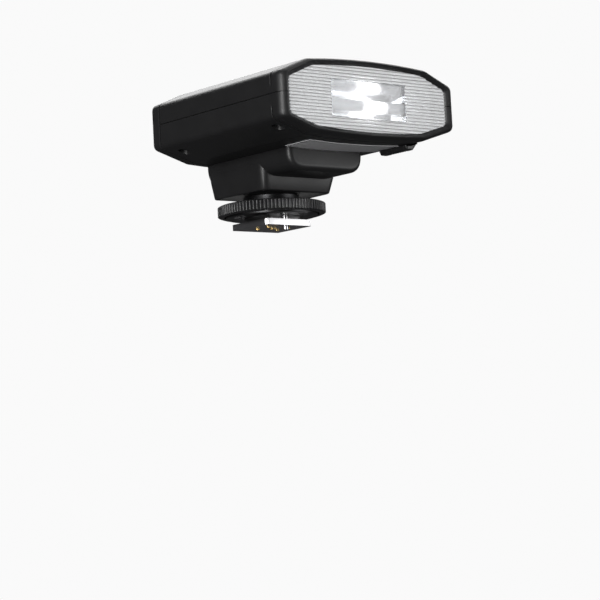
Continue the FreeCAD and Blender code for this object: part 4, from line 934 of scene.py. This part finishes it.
black_steel = material(
    "black_steel", (0.05, 0.05, 0.052), 0.38, 1.0, grain=0.25, relief=0.006, mottle=0.2, wear=0.08)
cast_metal = material(
    "cast_metal", (0.52, 0.52, 0.53), 0.34, 1.0, grain=0.2, relief=0.006, mottle=0.08, wear=0.08)
bright_steel = material(
    "bright_steel", (0.62, 0.62, 0.63), 0.24, 1.0, grain=0.15, relief=0.003, mottle=0.06, wear=0.06)
gold_plate = material(
    "gold_plate", (0.86, 0.62, 0.26), 0.2, 1.0, grain=0.1, relief=0.002, mottle=0.05, wear=0.05)
put_eased(black_steel, "pin_steel", "flash_body", threaded_stem=0.12)
put_eased(black_steel, "pin_steel", "clamp_plate", clamp_plate=0.15)
put_eased(cast_metal, "foot_metal", "flash_body", foot_plate=0.15)
put_eased(bright_steel, "screw_steel", "flash_body", stem_screws=0.1)
dress("contact_pins", gold_plate)
dress("lock_pin", bright_steel)
dress("hinge_pin", bright_steel)

# ----------------------------------------
# Screws: four zinc-plated cross-head screws at the bottom of their wells, and four that hold the neck.
# ----------------------------------------
put_eased(bright_steel, "screw_steel", "flash_body", case_screws=0.08, pedestal_screws=0.08)

# ----------------------------------------
# Rating label: a thin satin aluminium plate glued under the head, blank but for a printed border line.
# ----------------------------------------
label_low, label_high = box_mm("rating_label")
satin, ink, border_inset, border_half = (0.85, 0.85, 0.86), (0.03, 0.03, 0.03), 0.6, 0.12
satin_label = material("satin_label", satin, 0.42, 0.1, grain=0.35, relief=0.002, wear=0.05)
label_middle, label_half = (label_low + label_high) / 2 * MM, (label_high - label_low) / 2 * MM
past_side, past_end = (
    chained(satin_label, coordinate(satin_label, axis), ("SUBTRACT", middle), ("ABSOLUTE", None), ("SUBTRACT", half))
    for axis, middle, half in zip("XY", label_middle, label_half)
)
border = chained(
    satin_label, past_end, ("MAXIMUM", past_side), ("ADD", border_inset * MM), ("ABSOLUTE", None),
    ("LESS_THAN", border_half * MM),
)
graded(satin_label, "Base Color", border, [(0, satin), (1, ink)])
dress("rating_label", satin_label)

# ----------------------------------------
# Batteries: two AA cells in shrink sleeves with a plain two-tone band and bare steel ends, in a black moulded
# tray. Nickel-plated plates, a stud and conical springs join them at both ends.
# ----------------------------------------
nickel = material("nickel", (0.66, 0.64, 0.6), 0.26, 1.0, grain=0.2, relief=0.003, mottle=0.06, wear=0.06)
tray_abs = material("tray_abs", (0.022, 0.022, 0.023), 0.5, grain=0.25, relief=0.01, mottle=0.15, wear=0.05)
for node in ("battery_contacts", "contact_spring", "contact_stud"):
    dress(node, nickel)
put_eased(nickel, "contact_metal", "battery_door", door_contacts=0.05)
put_eased(tray_abs, "tray_plastic", "flash_body", battery_tray=0.2)
dress("contact_block", tray_abs)


def cell_sleeve(name, low_end, high_end, band_end):
    """Sleeve finish by the height along X: bare steel beyond low_end and high_end, a dark body and, between
    band_end and high_end, an orange band."""
    steel, dark, orange = (0.6, 0.6, 0.6), (0.05, 0.052, 0.058), (0.62, 0.2, 0.03)
    made = material(name, dark, 0.28, grain=0.5, relief=0.004, wear=0.04, Coat_Weight=0.4)
    long = (high_end - low_end) * MM
    along = chained(made, coordinate(made, "X"), ("SUBTRACT", low_end * MM), ("DIVIDE", long))
    bands = [(0.0, steel), (0.004, dark), (band_end, orange), (0.996, steel)]
    graded(made, "Base Color", along, bands, "CONSTANT")
    graded(made, "Metallic", along, [(0.0, (1, 1, 1)), (0.004, (0, 0, 0)), (0.996, (1, 1, 1))], "CONSTANT")
    return made


for node, ahead, name in (("front_cell", 1, "sleeve_front"), ("rear_cell", -1, "sleeve_rear")):
    low, high = box_mm(node)
    axis = tuple(centre_mm(node)[1:])
    can, nub, lip = (high[1] - low[1]) / 2, 2.75, 0.5
    flat_end, nub_end = (low[0], high[0]) if ahead > 0 else (high[0], low[0])
    shoulder = nub_end - ahead
    profile = [
        (0, flat_end), (can - 2.2, flat_end), (can - 2.0, flat_end + ahead * 0.25),
        (can - 1.2, flat_end + ahead * 0.25), (can - 1.0, flat_end), (can - lip, flat_end),
        (can - 0.1, flat_end + ahead * 0.2), (can, flat_end + ahead * lip), (can, shoulder - ahead * lip),
        (can - 0.1, shoulder - ahead * 0.2), (can - lip, shoulder), (nub + 0.1, shoulder),
        (nub, shoulder + ahead * 0.1), (nub, nub_end - ahead * 0.3), (nub - 0.3, nub_end), (0, nub_end),
    ]
    finish = cell_sleeve(name, flat_end, shoulder, 0.72)
    put(tidy_mesh(lathe(node + "_can", profile, "X", axis, 48)), finish, "cell_sleeve", "flash_body", node)

# ----------------------------------------
# Electronics: glass-fibre boards with copper tracks under green lacquer, moulded chips, a shrink-sleeved
# flash capacitor, a wound step-up transformer, a trigger coil and the tactile switches.
# ----------------------------------------
board_green = material("board_green", (0.01, 0.075, 0.035), 0.32, wear=0.04)
tracks = patterned(board_green, "Voronoi", 420, distance="CHEBYCHEV", feature="F1")
lacquer = [(0.3, (0.008, 0.06, 0.028)), (0.42, (0.02, 0.13, 0.055))]
graded(board_green, "Base Color", tracks.outputs["Distance"], lacquer)
for node in ("main_board", "power_board", "display_board"):
    dress(node, board_green)
chip_resin = material("chip_resin", (0.018, 0.018, 0.02), 0.55, grain=0.12, relief=0.008, mottle=0.15)
sleeve_black = material(
    "sleeve_black", (0.02, 0.02, 0.026), 0.24, grain=0.8, relief=0.006, mottle=0.1, Coat_Weight=0.3)
winding = material("winding", (0.55, 0.2, 0.07), 0.32, 0.85, mottle=0.1, wear=0.06)
wires = patterned(winding, "Wave", 900, wave_type="BANDS", bands_direction="Z")
bumped(winding, wires.outputs["Fac"], 0.08)
put_eased(chip_resin, "chip", "flash_body", board_chips=0.12, power_transistor=0.15, tactile_switches=0.12)
put_eased(black_steel, "contact_metal", "flash_body", switch_base=0.12)
put_eased(winding, "copper", "flash_body", step_up_transformer=0.6, trigger_transformer=0.3)
put_eased(sleeve_black, "capacitor_sleeve", "flash_body", flash_capacitor=0.7)
